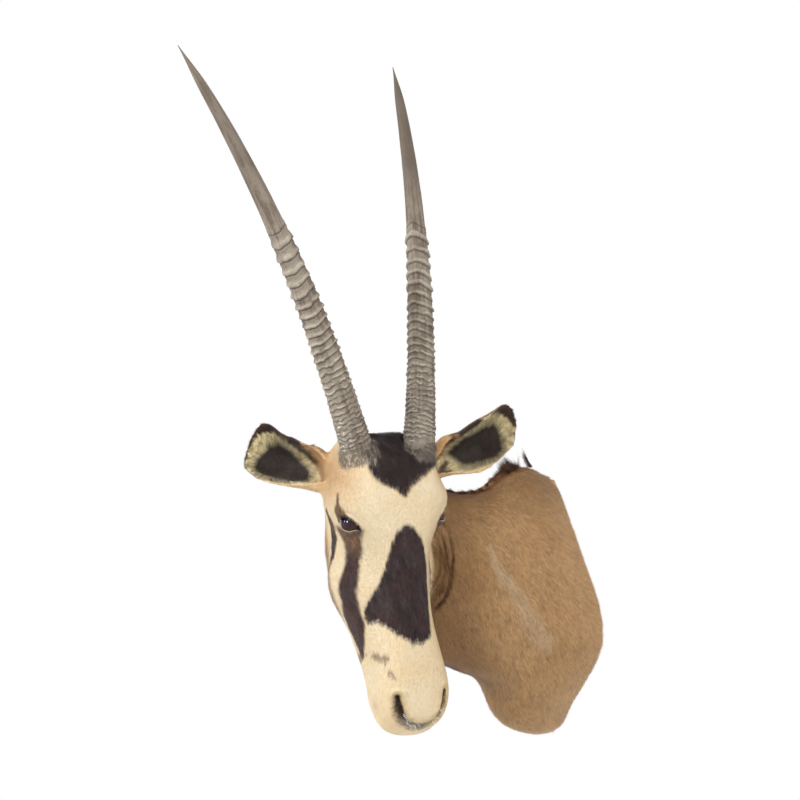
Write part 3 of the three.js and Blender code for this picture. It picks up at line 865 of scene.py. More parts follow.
# ---- Where the head's coat ends and the neck's begins ----
HEAD_HALVES = (  # mm up, and the head's half width there
    (-390, 44), (-285, 54), (-195, 62), (-150, 67), (-112, 74), (-80, 85), (-45, 80), (0, 70), (20, 60),
)
HEAD_MIDDLE_Y = 62
HEAD_BACK_REACH = 88


def head_share(points):
    heights, halves = zip(*HEAD_HALVES)
    half = np.interp(points[:, 2], heights, halves) + 4
    back = np.maximum(points[:, 1] - HEAD_MIDDLE_Y, 0) / HEAD_BACK_REACH
    spread = np.hypot(points[:, 0] / half, back)
    return smoothstep(1.1, 0.96, spread)


# ---- Markings ----
# Outlines on the face: degrees round from the middle of the face, with the animal's left above 0, and
# mm up from the horns' foot.
BLAZE = (
    (-3, -111), (-11, -119), (-17, -131), (-22, -148), (-27, -166), (-36, -182), (-46, -197), (-64, -214),
    (-71, -226), (-67, -237), (-48, -236), (-33, -243), (-21, -257), (-7, -268), (4, -272), (13, -268),
    (19, -258), (20, -240), (23, -210), (25, -171), (21, -151), (15, -131), (8, -117), (2, -111),
)
CROWN_PATCH = (
    (-33, -8), (-30, -27), (-26, -41), (-19, -50), (-12, -55), (-6, -61), (1, -70), (7, -60), (13, -54),
    (21, -47), (30, -40), (40, -32), (60, -23), (90, -12), (90, 60), (-90, 60), (-60, 30), (-38, 6),
)
EYE_STRIPE = (
    (78, -100), (60, -104), (43, -112), (49, -127), (51, -138), (58, -150), (65, -175), (73, -197),
    (74, -219), (72, -240), (81, -259), (98, -284), (106, -287), (116, -262), (122, -240), (115, -222),
    (104, -205), (101, -187), (92, -168), (80, -146), (76, -126),
)
BROW_MARK = ((62, -58), (66, -82), (68, -97), (61, -100), (51, -95), (56, -84), (59, -74))
CHEEK_STRIPE = (
    (81, -74), (80, -98), (87, -118), (103, -142), (124, -161), (150, -172), (180, -178), (180, -196),
    (150, -188), (128, -168), (115, -146), (104, -122), (94, -100), (88, -76),
)
DEGREE_MM = 1.15  # a degree round the head is about this far
HEAD_AXIS_Y = 70
# Worn spots on the muzzle's right side: place across and up, and half width and height, in mm.
MUZZLE_SPOTS = ((-46, -284, 3.4, 7.5), (-41, -283, 2.6, 3.4), (-39, -308, 2.8, 6.5))

CREAM = linear(232, 215, 182)
CREAM_WARM = linear(228, 200, 156)
TAN = linear(190, 147, 98)
TAN_PALE = linear(222, 182, 132)
TAN_DEEP = linear(118, 80, 46)
DARK = linear(46, 34, 35)
DARK_RED = linear(74, 50, 46)
DARK_GREY = linear(66, 58, 60)
EAR_INSIDE = linear(40, 27, 30)
EAR_DEEPEST = linear(26, 15, 18)
EAR_RIM = linear(50, 32, 28)
FRINGE_PALE = linear(230, 215, 170)
FRINGE_DEEP = linear(152, 130, 90)
BROW_BROWN = linear(104, 78, 60)
SPOT_BROWN = linear(160, 137, 112)
HEM_DARK, HEM_PALE = linear(112, 100, 88), linear(206, 200, 188)
SCUFF_PALE = linear(206, 180, 146)
NOSE_EDGE, NOSE_SHADE = linear(192, 166, 118), linear(84, 68, 54)
LID_PALE = linear(158, 146, 130)
LIP_DARK = linear(70, 58, 52)
PINE_DARK, PINE_PALE = linear(150, 112, 70), linear(204, 170, 122)
ZINC = (0.55, 0.56, 0.58)
WHISKER_PALE = linear(244, 240, 228)
NOSE_PAD = linear(112, 106, 102)
# painted shade inside the nostrils
NOSTRIL_PAINTED_SHADE = linear(40, 29, 25)
MANE_BROWN = linear(136, 92, 62)
BARE_DARK = linear(24, 19, 20)
LASH_BROWN = linear(58, 42, 34)


def round_face(points):
    """Head-frame points as mm round from the face's middle, and mm up."""
    degrees = np.degrees(np.arctan2(points[:, 0], HEAD_AXIS_Y - points[:, 1]))
    return np.stack([degrees * DEGREE_MM, points[:, 2]], axis=1)


def stretched(outline):
    return [(degrees * DEGREE_MM, height) for degrees, height in outline]


def marking_share(points):
    """How dark the face's markings make each place, from 0 to 1, and how brown rather than black."""
    flat = round_face(points)
    folded = flat.copy()
    folded[:, 0] = np.abs(folded[:, 0])
    ragged = noise(points, (1.6, 1.6, 7), 101) * 1.6 + noise(points, (5, 5, 9), 103) * 1.2
    share = np.zeros(len(points))
    brown = np.zeros(len(points))
    for outline, where, soft, brownness in (
        (BLAZE, flat, 1.8, 0.25),
        (CROWN_PATCH, flat, 1.6, 0.2),
        (EYE_STRIPE, folded, 3.6, 0.75),
        (BROW_MARK, folded, 1.5, 0.8),
        (CHEEK_STRIPE, folded, 1.8, 0.5),
    ):
        depth = inside_distance(where, stretched(outline)) + ragged
        here = smoothstep(-soft, soft, depth)
        brown = np.where(here > share, brownness, brown)
        share = np.maximum(share, here)
    return share, brown


def face_ground(points):
    """The face's cream coat, tanner by the ears and the nape, and warmer on the left cheek."""
    patches = rough_noise(points, 34, 107)
    low = smoothstep(-300, -385, points[:, 2])
    colour = tinted(CREAM, CREAM_WARM, (0.25 + 0.55 * patches + 0.15 * low).clip(0, 1))
    ear_side = smoothstep(-95, -30, points[:, 2]) * smoothstep(46, 76, np.abs(points[:, 0]))
    colour = tinted(colour, TAN, ear_side * 0.8)
    nape = smoothstep(82, 118, points[:, 1]) * smoothstep(-170, -90, points[:, 2])
    colour = tinted(colour, TAN, nape * 0.85)
    left_cheek = smoothstep(-5, 45, points[:, 0]) * smoothstep(-60, -160, points[:, 2])
    return tinted(colour, CREAM_WARM * 0.9, left_cheek * 0.6)


def dark_coat(points, brown):
    """The colour of the dark markings: nearly black, with red, ashy and brown places."""
    dark = tinted(DARK, DARK_RED, (brown + 0.35 * noise(points, 12, 113)).clip(0, 1))
    dark = tinted(dark, DARK_GREY, smoothstep(-0.1, 0.8, noise(points, (6, 6, 18), 117)) * 0.6)
    dark = dark * (1 + 0.55 * noise(points, (1.4, 1.4, 4), 119))[:, None]
    eye_gap = np.linalg.norm(mirrored(points) - EYE_AT, axis=1)
    hairy = tinted(BROW_BROWN, TAN, (0.7 * noise(points, (1.6, 1.6, 6), 115)).clip(0, 0.3))
    return tinted(dark, hairy, smoothstep(52, 26, eye_gap))


def face_colours(points):
    share, brown = marking_share(points)
    colour = face_ground(points)
    for x, z, half_width, half_height in MUZZLE_SPOTS:
        offset = points[:, 2] - z
        reach = ((points[:, 0] - x + offset * 0.35) / half_width) ** 2 + (offset / half_height) ** 2
        near = smoothstep(1.5, 0.7, reach + noise(points, 2.5, 109) * 0.8) * (points[:, 0] < 0)
        colour = tinted(colour, SPOT_BROWN, near * 0.95)
    return horn_hem(points, tinted(colour, dark_coat(points, brown), share))


def horn_hem(points, colour):
    """The grey, flaky skin that the horns grow out of."""
    hem = np.zeros(len(points))
    for side in (RIGHT, LEFT):
        base, headings = horn_path(side)
        offset = points - base[0]
        gap = np.linalg.norm(offset - (offset @ headings[0])[:, None] * headings[0], axis=1)
        near = smoothstep(HORN_RADII[0] + 7, HORN_RADII[0] + 3, gap + noise(points, 4, 119) * 3)
        height = offset @ headings[0] + noise(points, 6, 121) * 4
        hem = np.maximum(hem, near * smoothstep(-25, -18, height) * (height < 40))
    flakes = smoothstep(0.3, 0.55, noise(points, (1.5, 1.5, 2.0), 123))
    skin = tinted(HEM_DARK, HEM_PALE, flakes)
    return tinted(colour, skin, hem * 0.85)


# Lines along the neck, in the row's frame: the rubbed place, the mane and the keel under the throat.
NECK_SCUFF = (
    (57, -158, 86), (64, -153, 63), (70, -146, 47), (80, -127, 22), (86, -115, -6), (94, -90, -44),
)
MANE_LINE = (
    (36, -290, 196), (8, -250, 186), (-20, -200, 165), (-14, -160, 158), (-6, -120, 172), (0, -60, 200),
)
KEEL_LINE = (
    (30, -300, -6), (-10, -260, -42), (-24, -210, -74), (-12, -168, -98), (-6, -132, -131), (0, -90, -176),
)
# A painted-light tan: the side of the neck by the wall is drawn paler, as if lit there.
WALL_SIDE_PAINTED_LIGHT = linear(206, 168, 124)
LIE = unit([0.05, 0.42, -0.9])  # the way the neck's hair lies
LIE_ACROSS = unit(np.cross(LIE, [0.8, -0.6, 0]))


def streaked(row, breadth, length, seed):
    """Noise drawn out along the neck's hair."""
    third = np.cross(LIE, LIE_ACROSS)
    place = np.stack([row @ LIE_ACROSS, row @ third, row @ LIE], axis=1)
    return noise(place, (breadth, breadth * 2.5, length), seed)


def neck_coat(row):
    """The neck's tan coat with its streaks and flecks."""
    patches = rough_noise(row, 60, 121)
    fine = streaked(row, 1.7, 9, 127)
    coarse = streaked(row, 6, 34, 129)
    grain = noise(row, 1.6, 133)
    colour = tinted(TAN, TAN_PALE, (0.45 + 0.4 * patches + 0.2 * coarse + 0.5 * fine).clip(0, 1))
    colour = tinted(colour, TAN_DEEP, smoothstep(0.05, 0.75, fine + 0.5 * grain) * 0.55)
    return tinted(colour, TAN_DEEP, smoothstep(0.15, 0.8, coarse) * 0.14)


def neck_shaded(row, colour):
    """Painted light and shade: paler towards the wall as if lit there, deeper along the crest, a painted
    shadow behind the cheek and painted shade under the throat.
    """
    # painted light: paler towards the wall
    colour = tinted(colour, WALL_SIDE_PAINTED_LIGHT, smoothstep(-80, -15, row[:, 1]) * 0.6)
    colour = tinted(colour, TAN_DEEP, smoothstep(110, 190, row[:, 2]) * 0.45)
    beyond_head = (row - FOLD_AT) @ NECK_ACROSS
    # painted shadow of the head, on the neck behind the cheek
    head_shadow = smoothstep(112, 40, beyond_head) * smoothstep(-60, -10, row[:, 0])
    colour = tinted(colour, TAN_DEEP, head_shadow * 0.5)
    # painted shade under the throat
    throat_shade = smoothstep(150, 70, beyond_head) * smoothstep(0, -90, row[:, 2])
    return tinted(colour, TAN_DEEP, throat_shade * 0.5)


def neck_colours(points):
    row = to_row(points)
    colour = neck_shaded(row, neck_coat(row))
    crease, _ = fold_pattern(row)
    # painted shade: the neck's creases are darkened
    colour = tinted(colour, TAN_DEEP * 0.3, crease * 0.95)
    scuff, along = path_distance(row, NECK_SCUFF)
    bare = smoothstep(1, 0.3, (scuff + noise(row, 8, 131) * 4) / mix(8, 21, along))
    colour = tinted(colour, SCUFF_PALE, bare * mix(1, 0.7, along) * 0.75)
    mane, _ = path_distance(row, MANE_LINE)
    colour = tinted(colour, MANE_BROWN, smoothstep(13, 4, mane + noise(row, 9, 137) * 4) * 0.8)
    keel, _ = path_distance(row, KEEL_LINE)
    below = smoothstep(17, 4, keel + noise(row, 12, 139) * 5)
    return tinted(colour, DARK_RED, below * smoothstep(-130, -95, row[:, 2]) * 0.8)


def ear_inside(points, hollow):
    """The pale fringe round an ear's bare, dark hollow."""
    depth = (0.3 + 0.75 * noise(points, (2.2, 2.2, 6), 153)).clip(0, 1)
    bare = tinted(EAR_INSIDE, EAR_DEEPEST, (0.5 + 0.6 * noise(points, 16, 155)).clip(0, 1))
    return tinted(tinted(FRINGE_PALE, FRINGE_DEEP, depth), bare, smoothstep(-8, 3, hollow) * 0.97)


def ear_rolled(outer, flat, side, facing, ragged):
    """The rim that rolls over from the back, dark from some way along, with a painted shadow just outside
    the fringed inner face.
    """
    across, along = flat.T
    below, above, slope = EAR_DARK_FROM[side]
    start = np.where(across < 0, below, above + slope * np.maximum(across - 13, 0))
    dark = smoothstep(-7, 6, along - start + ragged * 2)
    # painted shadow: a dark olive band just outside the fringed inner face
    rolled = tinted(outer, TAN_DEEP, np.exp(-(((facing + 5) / 6) ** 2)) * 0.6)
    return tinted(rolled, EAR_RIM, dark * 0.94)


def ear_colours(points, side):
    local, share, _, height = ear_place(points, side)
    flat = local[:, [0, 2]]
    ragged = noise(points, 4, 149) * 1.8 + noise(points, 1.6, 147) * 1.2
    facing = inside_distance(flat, EAR_FACES[side]) + ragged
    inner = ear_inside(points, inside_distance(flat, EAR_HOLLOWS[side]) + ragged)
    outer = tinted(TAN_PALE, TAN, (0.5 + 0.5 * noise(points, 18, 151)).clip(0, 1))
    outer = tinted(outer, CREAM_WARM, smoothstep(4, 24, flat[:, 0] * side) * 0.75)
    rolled = ear_rolled(outer, flat, side, facing, ragged)
    colour = tinted(inner, rolled, smoothstep(0.8, -0.8, facing))
    if side == LEFT:
        # painted shadow in the slit at the left ear's root
        notch_shadow, _ = path_distance(flat, EAR_NOTCH_SHADOW)
        colour = tinted(colour, EAR_RIM, smoothstep(4.5, 1.5, notch_shadow + ragged * 0.5) * 0.9)
    tip = smoothstep(0.6, 0.9, share + noise(points, 10, 157) * 0.1) * 0.85
    colour = tinted(colour, tinted(outer, EAR_RIM, tip), smoothstep(1.5, 4.5, height))
    start, end, reach = EAR_BANDS[side]
    band, _ = path_distance(flat, (start, end))
    return tinted(colour, EAR_RIM, smoothstep(reach, reach - 4, band + ragged) * 0.92)


def coat_colours(points):
    """The coat's colour at head-frame points anywhere on the skin."""
    colour = tinted(neck_colours(points), face_colours(points), head_share(points))
    for side in (RIGHT, LEFT):
        colour = tinted(colour, ear_colours(points, side), ear_share(points, side))
    return colour


def nose_shade(points):
    """Painted shade round and inside the nostrils: soft and wide outside them, sharp inside."""
    folded = mirrored(points)
    distance, where = path_distance(folded, NOSTRIL)
    middle = np.array([0, 10, -340])
    outward = np.linalg.norm((folded - middle)[:, [0, 2]], axis=1)
    rim = np.interp(where, np.linspace(0, 1, len(NOSTRIL)), [math.hypot(x, z + 340) for x, _, z in NOSTRIL])
    outside = smoothstep(-2, 2, outward - rim)
    narrow = mix(1, 0.42, smoothstep(-4, 20, points[:, 0]))
    reach = mix(6.5, 16, outside) * mix(0.6, 1, smoothstep(0, 0.35, where)) * narrow
    soft = smoothstep(1, 0.2, distance / reach + noise(points, 2.2, 181) * 0.25)
    inner_shade = smoothstep(6.5, 1.5, distance / narrow + noise(points, 2.5, 183) * 1.6)
    inner_shade = inner_shade * mix(0.3, 0.9, smoothstep(NOSTRIL_END + 0.1, NOSTRIL_END - 0.4, where))
    return soft, inner_shade, where


def lid_colours(points, colour, side):
    """A pale lower lid, a dark upper one, a dark front corner, and painted shade on the skin sunk inside
    the opening.
    """
    near = (np.linalg.norm(points - eye_axes(side)[0], axis=1) < EYE_REFINED).astype(float)
    a, b, _, inside = eye_opening(points, side)
    duct = smoothstep(EYE_CORNERS[1] - 8, EYE_CORNERS[1], a) * smoothstep(-7, -2, inside)
    colour = tinted(colour, DARK_GREY, duct * near * 0.8)
    upper = smoothstep(-2.5, 0.5, b)
    rim = smoothstep(mix(-2.4, -4.0, upper), mix(-1.2, -2.4, upper), inside) * near
    colour = tinted(colour, tinted(LID_PALE, BARE_DARK, upper), rim * mix(0.85, 1, upper))
    # painted shade: the skin sunk between the lids and the ball
    return tinted(colour, BARE_DARK, smoothstep(0, 1.5, inside) * near)


def bare_colours(points, colour):
    """The hairless places: lid rims, nostrils, nose and lips."""
    soft, inner_shade, where = nose_shade(points)
    edge = smoothstep(15, 3, path_distance(mirrored(points), NOSTRIL)[0] + noise(points, 3, 185) * 3)
    colour = tinted(colour, NOSE_EDGE, edge * 0.75)
    # partly the real grey nose pad along the bare line under the nose, partly painted shade round the
    # nostrils
    pad = tinted(NOSE_SHADE, NOSE_PAD, smoothstep(0.3, 0.75, where))
    colour = tinted(tinted(colour, pad, soft * 0.88), NOSTRIL_PAINTED_SHADE, inner_shade)
    for side in (RIGHT, LEFT):
        colour = lid_colours(points, colour, side)
    mouth, where = path_distance(mirrored(points), MOUTH)
    return tinted(colour, LIP_DARK, smoothstep(4.5, 1.5, mouth) * smoothstep(1, 0.8, where))


def hair_share(points):
    """Where hair grows, from 0 on bare places to 1."""
    share = np.ones(len(points))
    for side in (RIGHT, LEFT):
        near = np.linalg.norm(points - eye_axes(side)[0], axis=1) < EYE_REFINED
        *_, inside = eye_opening(points, side)
        share = np.where(near, share * smoothstep(-1.6, -2.6, inside), share)
    distance, _ = path_distance(mirrored(points), NOSTRIL)
    mouth, _ = path_distance(mirrored(points), MOUTH)
    return share * smoothstep(3.5, 6, distance) * smoothstep(1.5, 3.5, mouth)


# ---- Hair ----
WALL_GAP = -0.3  # how near the wall's plane a hair's tip may come
HAIR_WIDTH = 0.62
NECK_HAIR, FACE_HAIR, MUZZLE_HAIR = 9.0, 3.8, 2.4  # lengths
CROWN_EXTRA, EAR_HAIR, FRINGE_HAIR = 6, 4.0, 8.0
NECK_LIFT, FACE_LIFT, EAR_LIFT = 13.0, 7.0, 18.0  # degrees off the skin


def sample_surface(mesh, weight, count, homes):
    """Random places on a mesh: points and normals in the row's frame, and their place before sculpting."""
    points, normals, triangles = points_of(mesh), normals_of(mesh), triangles_of(mesh)
    a, b, c = (points[triangles[:, i]] for i in range(3))
    area = np.linalg.norm(np.cross(b - a, c - a), axis=1)
    chance = area * weight[triangles].mean(axis=1)
    picked = rng.choice(len(triangles), count, p=chance / chance.sum())
    u, v = rng.random(count), rng.random(count)
    over = u + v > 1
    u[over], v[over] = 1 - u[over], 1 - v[over]
    shares = np.stack([1 - u - v, u, v], axis=1)[:, :, None]
    corners = triangles[picked]
    spots, ways, places = ((each[corners] * shares).sum(axis=1) for each in (points, normals, homes))
    return spots, unit(ways), places


HAIR_ENDS = (0.92, 1.06)  # how much darker a root is, and how much lighter a tip


def grow_hair(name, roots, normals, flow, length, width, lift, colours, jitter=0.3):
    """A slim triangle for each hair, in the row's frame: it leans along flow and lifts by degrees."""
    count = len(roots)
    flow = unit(flow - normals * (flow * normals).sum(axis=1)[:, None])
    across = np.cross(normals, flow)
    flow = unit(flow + across * rng.normal(0, jitter, count)[:, None])
    across = np.cross(normals, flow)
    rise = np.radians(lift * rng.uniform(0.5, 1.5, count))[:, None]
    length = (length * rng.uniform(0.65, 1.2, count))[:, None]
    tips = roots + length * (flow * np.cos(rise) + normals * np.sin(rise))
    tips[:, 1] = np.minimum(tips[:, 1], WALL_GAP)
    half = across * (width * rng.uniform(0.7, 1.2, count) / 2)[:, None]
    base = roots - normals * 0.3
    points = np.stack([base + half, base - half, tips], axis=1).reshape(-1, 3)
    mesh = new_mesh(name, points, np.arange(count * 3).reshape(-1, 3))
    mesh.normals_split_custom_set_from_vertices(np.repeat(unit(normals + flow * 0.25), 3, axis=0))
    root, tip = HAIR_ENDS
    each = np.stack([colours * root, colours * root, colours * tip], axis=1)
    set_colours(mesh, each.reshape(-1, 3))
    return new_object(name, mesh)


def head_flow(points):
    """Face hair runs down the face, and back over the cheeks, in the head's frame."""
    flow = np.tile([0.0, 0.0, -1.0], (len(points), 1))
    flow[:, 0] += points[:, 0] * 0.004
    flow[:, 1] += 0.35 * smoothstep(20, 90, points[:, 1])
    return flow


def coat_flow(points):
    """The way the hair lies at head-frame points, in the row's frame."""
    flow = head_flow(points) @ HEAD_AXES.T
    flow = tinted(np.tile(LIE, (len(points), 1)), flow, head_share(points))
    for side in (RIGHT, LEFT):
        local, _, _, height = ear_place(points, side)
        centre = np.mean(EAR_HOLLOWS[side], axis=0)
        inward = np.stack([centre[0] - local[:, 0], local[:, 1] * 0, centre[1] - local[:, 2]], axis=1)
        tipward = np.array([0.0, 0.0, 1.0])
        inner = smoothstep(3, 1.5, height)[:, None]
        way = mix(tipward, unit(inward), inner) @ ear_axes(side)[1] @ HEAD_AXES.T
        flow = tinted(flow, way, ear_share(points, side))
    return flow


def coat_lengths(points):
    """Short on the face, longer on the neck and longest on the crown."""
    length = mix(NECK_HAIR, FACE_HAIR, head_share(points))
    crown = smoothstep(-4, 3, inside_distance(round_face(points), stretched(CROWN_PATCH)))
    length = length + CROWN_EXTRA * crown * head_share(points)
    return mix(length, MUZZLE_HAIR, smoothstep(-300, -370, points[:, 2]) * head_share(points))


def ear_lengths(points):
    """Long fringes round the hollows of the ears, and short hair elsewhere."""
    length = np.full(len(points), EAR_HAIR)
    for side in (RIGHT, LEFT):
        local, _, _, height = ear_place(points, side)
        hollow = inside_distance(local[:, [0, 2]], EAR_HOLLOWS[side])
        fringe = smoothstep(-16, -4, hollow) * smoothstep(3, -3, hollow) * smoothstep(3, 1.5, height)
        length = mix(length, FRINGE_HAIR, fringe * ear_share(points, side))
    return length


HAIR_COUNTS = {
    "face_hair": 185000,
    "left_neck_hair": 150000,
    "right_neck_hair": 110000,
    "ear_hair": 60000,
}
MIDDLE_LINE = ((-304, -24), (-210, -26), (-132, -8), (0, 0))  # y and x, between the neck's two coats


def coat_regions(points):
    """How much of each hair piece grows at each skin point."""
    ear = np.maximum(ear_share(points, RIGHT), ear_share(points, LEFT))
    face = head_share(points) * (1 - ear)
    neck = (1 - head_share(points)) * (1 - ear)
    row = to_row(points)
    back = smoothstep(-2.5, -6, row[:, 1])
    left = row[:, 0] > np.interp(row[:, 1], *zip(*MIDDLE_LINE))
    bare = hair_share(points)
    return {
        "face_hair": face * bare,
        "left_neck_hair": neck * left * back,
        "right_neck_hair": neck * ~left * back,
        "ear_hair": ear,
    }


def hair_tones(roots, lying):
    """How much lighter or darker each hair is: in clumps, and one by one, less so on the face."""
    fine = noise(roots, 2.1, 163) * mix(0.18, 0.035, lying)
    broad = noise(roots, 14, 167) * mix(0.05, 0.03, lying)
    return 1 + (fine + broad) + rng.uniform(-1, 1, len(roots)) * mix(0.38, 0.08, lying)


def make_coat(skin, homes):
    pieces = []
    for name, weight in coat_regions(homes).items():
        roots, normals, places = sample_surface(skin.data, weight, HAIR_COUNTS[name], homes)
        lying = head_share(places)
        colours = bare_colours(places, coat_colours(places)) * hair_tones(roots, lying)[:, None]
        length, lift = coat_lengths(places), mix(NECK_LIFT, FACE_LIFT, lying)
        if name == "ear_hair":
            length, lift = ear_lengths(places), np.full(len(places), EAR_LIFT)
        flow = coat_flow(places)
        pieces.append(grow_hair(name, roots, normals, flow, length, HAIR_WIDTH, lift, colours))
    return pieces


MANE_COUNT = 9500
MANE_TUFT = (0.95, 0.06)  # where along the ridge the tuft stands, and its reach
MANE_LENGTHS = (8, 20)
MANE_CLUMP = 6
MANE_WIDTH = 1.1
MANE_LIFTS = (30, 42)  # degrees, along the ridge and in the tuft
MANE_LEAN = np.array([0.0, -0.9, 0.35])


def make_mane(skin, homes):
    """The dark upright hair along the neck's ridge, with a tuft near its end."""
    distance, where = path_distance(to_row(homes), MANE_LINE)
    weight = smoothstep(9, 2, distance) * (1 - head_share(homes)) * smoothstep(1.0, 0.97, where)
    roots, normals, places = sample_surface(skin.data, weight, MANE_COUNT, homes)
    _, where = path_distance(to_row(places), MANE_LINE)
    tuft = np.exp(-(((where - MANE_TUFT[0]) / MANE_TUFT[1]) ** 2))
    clump = [noise(roots, MANE_CLUMP, 191 + i)[:, None] for i in range(3)]
    flow = MANE_LEAN + np.hstack(clump) * 0.9
    length = mix(*MANE_LENGTHS, tuft) * rng.uniform(0.5, 1.1, len(roots)) * (1.1 + 0.7 * clump[0][:, 0])
    shade = rng.random((len(roots), 1))
    colours = tinted(mix(MANE_BROWN, TAN, shade) * 1.15, mix(DARK, MANE_BROWN, shade * 0.8), tuft)
    lift = mix(*MANE_LIFTS, tuft)
    return grow_hair("mane", roots, normals, flow, length, MANE_WIDTH, lift, colours, 0.25)


# ---- Glass eyes ----
EYE_ROWS, EYE_COLUMNS = 72, 96
EYE_GAP = 0.1  # the ball is this much smaller than its socket
CORNEA_BULGE, CORNEA_REACH = 0.9, 0.62  # mm, and radians from the middle
PUPIL_HALVES = (7.2, 4.2)
IRIS_BROWN, IRIS_DARK = linear(74, 38, 26), linear(40, 20, 14)
# A painted reflection: a bluish-navy sheen laid on the eye's colour.
IRIS_PAINTED_REFLECTION = linear(46, 52, 104)
PUPIL_BLACK = linear(20, 12, 14)
IRIS_EDGE = linear(30, 22, 20)


def welded(mesh):
    """Joins the points that lie on each other, and turns the faces out."""
    bm = bmesh.new()
    bm.from_mesh(mesh)
    bmesh.ops.remove_doubles(bm, verts=bm.verts, dist=1e-6)
    bmesh.ops.recalc_face_normals(bm, faces=bm.faces)
    bm.to_mesh(mesh)
    bm.free()
    return mesh


def make_eye(name, side):
    """A glass eye: a ball with a bulging cornea, an iris and a level, oblong pupil."""
    centre, *axes = eye_axes(side)
    axes = np.stack(axes)
    polar = (np.linspace(0.0, 1, EYE_ROWS) ** 1.15 * math.pi)[:, None]
    angle = np.linspace(0, 2 * math.pi, EYE_COLUMNS, endpoint=False)[None, :]
    bulge = CORNEA_BULGE * np.exp(-((polar / CORNEA_REACH) ** 4))
    radius = EYE_RADIUS - EYE_GAP + bulge
    a = radius * np.sin(polar) * np.cos(angle)
    b = radius * np.sin(polar) * np.sin(angle)
    c = radius * np.cos(polar) * np.ones_like(angle)
    points = centre + np.stack([a, b, c], axis=-1).reshape(-1, 3) @ axes
    mesh = welded(new_mesh(name, to_row(points), grid_faces(EYE_ROWS, EYE_COLUMNS)))
    set_colours(mesh, eye_colours((to_head(points_of(mesh)) - centre) @ axes.T))
    return new_object(name, mesh)


def eye_colours(local):
    a, b = local[:, 0], local[:, 1]
    rho = np.hypot(a, b)
    spokes = noise(np.stack([np.arctan2(b, a) * 9, rho * 0.4, rho * 0], axis=1), 1, 173)
    iris = tinted(IRIS_BROWN, IRIS_DARK, (0.5 + 0.5 * spokes).clip(0, 1))
    # painted reflection: bluish-navy on the upper, back part of the eye
    iris = tinted(iris, IRIS_PAINTED_REFLECTION, smoothstep(-7, 1, b) * smoothstep(5, -5, a) * 0.85)
    pupil = np.hypot(a / PUPIL_HALVES[0], b / PUPIL_HALVES[1])
    colour = tinted(PUPIL_BLACK, iris, mix(0.55, 0.9, smoothstep(0.7, 1.3, pupil)))
    return tinted(colour, IRIS_EDGE, smoothstep(11.5, 13, rho))


# ---- Lashes, whiskers and the stray wisp ----
STRAND_STEPS = 5
LASH_COUNT, LASH_WIDTH, LASH_LENGTHS = 36, 0.5, (7, 11)
WHISKER_ROOTS = (
    (-27, 15, -362), (-24, 17, -366), (-19, 18, -371), (-14, 19, -374), (-22, 19, -374), (-9, 19, -375),
    (26, 15, -362), (19, 18, -371), (11, 19, -375),
)
WHISKER_LENGTH, WHISKER_WIDTH = 15, 0.5
WISP_COUNT, WISP_WIDTH = 46, 0.8
STRAY_ROOT = (-6, -40, 195)  # row frame: a wisp that stands up behind the mane
STRAY_TIP = (-13, -49, 214)


def hair_strands(name, roots, tips, bend, width, colour):
    """Longer curved hairs: each is a strip that narrows to a point, in the row's frame."""
    t = np.linspace(0, 1, STRAND_STEPS)[None, :, None]
    line = roots[:, None] + (tips - roots)[:, None] * t + bend[:, None] * (4 * t * (1 - t))
    across = unit(np.cross(np.gradient(line, axis=1), NECK_OUTWARD))
    half = across * (width / 2 * (1 - 0.9 * t))
    points = np.stack([line - half, line + half], axis=2).reshape(-1, 3)
    first = np.arange(len(roots))[:, None] * STRAND_STEPS * 2 + np.arange(STRAND_STEPS - 1) * 2
    faces = first.reshape(-1, 1) + [0, 1, 3, 2]
    mesh = new_mesh(name, points, faces)
    set_colours(mesh, np.tile(colour, (len(points), 1)))
    return new_object(name, mesh)


def make_lashes(name, side):
    """Lashes along the upper lid, thickest at the back corner, where they lean outward."""
    centre, front, up, gaze = eye_axes(side)
    back_end, front_end = EYE_CORNERS
    a = mix(back_end - 1, front_end - 8, rng.random(LASH_COUNT) ** 2)
    b = np.interp(a, *zip(*UPPER_LID)) + 0.4
    reach = EYE_RADIUS + LID_THICKNESS
    c = np.sqrt(np.maximum(reach**2 - a**2 - b**2, 0)) + 0.3
    roots = centre + a[:, None] * front + b[:, None] * up + c[:, None] * gaze
    length = rng.uniform(*LASH_LENGTHS, LASH_COUNT)[:, None]
    lean = mix(-0.9, -0.3, (a - back_end) / (front_end - back_end))[:, None]
    way = unit(gaze * 0.9 + up * 0.25 + front * lean + rng.normal(0, 0.08, (LASH_COUNT, 3)))
    bend = (up * 1.3 + np.zeros((LASH_COUNT, 1))) @ HEAD_AXES.T
    return hair_strands(name, to_row(roots), to_row(roots + way * length), bend, LASH_WIDTH, LASH_BROWN)


def make_whiskers():
    """Pale, drooping hairs round the nostrils, two at each root."""
    roots = np.repeat(np.array(WHISKER_ROOTS, float), 2, axis=0)
    roots = roots + rng.normal(0, 1.2, roots.shape)
    roots[:, 1] += 1.5
    way = unit(np.array([0.35, -0.55, -0.8]) + rng.normal(0, 0.25, roots.shape))
    bend = np.tile([2.5, -1.5, -1.0], (len(roots), 1)) @ HEAD_AXES.T
    tips = to_row(roots + way * WHISKER_LENGTH * rng.uniform(0.6, 1.1, (len(roots), 1)))
    return hair_strands("whiskers", to_row(roots), tips, bend, WHISKER_WIDTH, WHISKER_PALE)


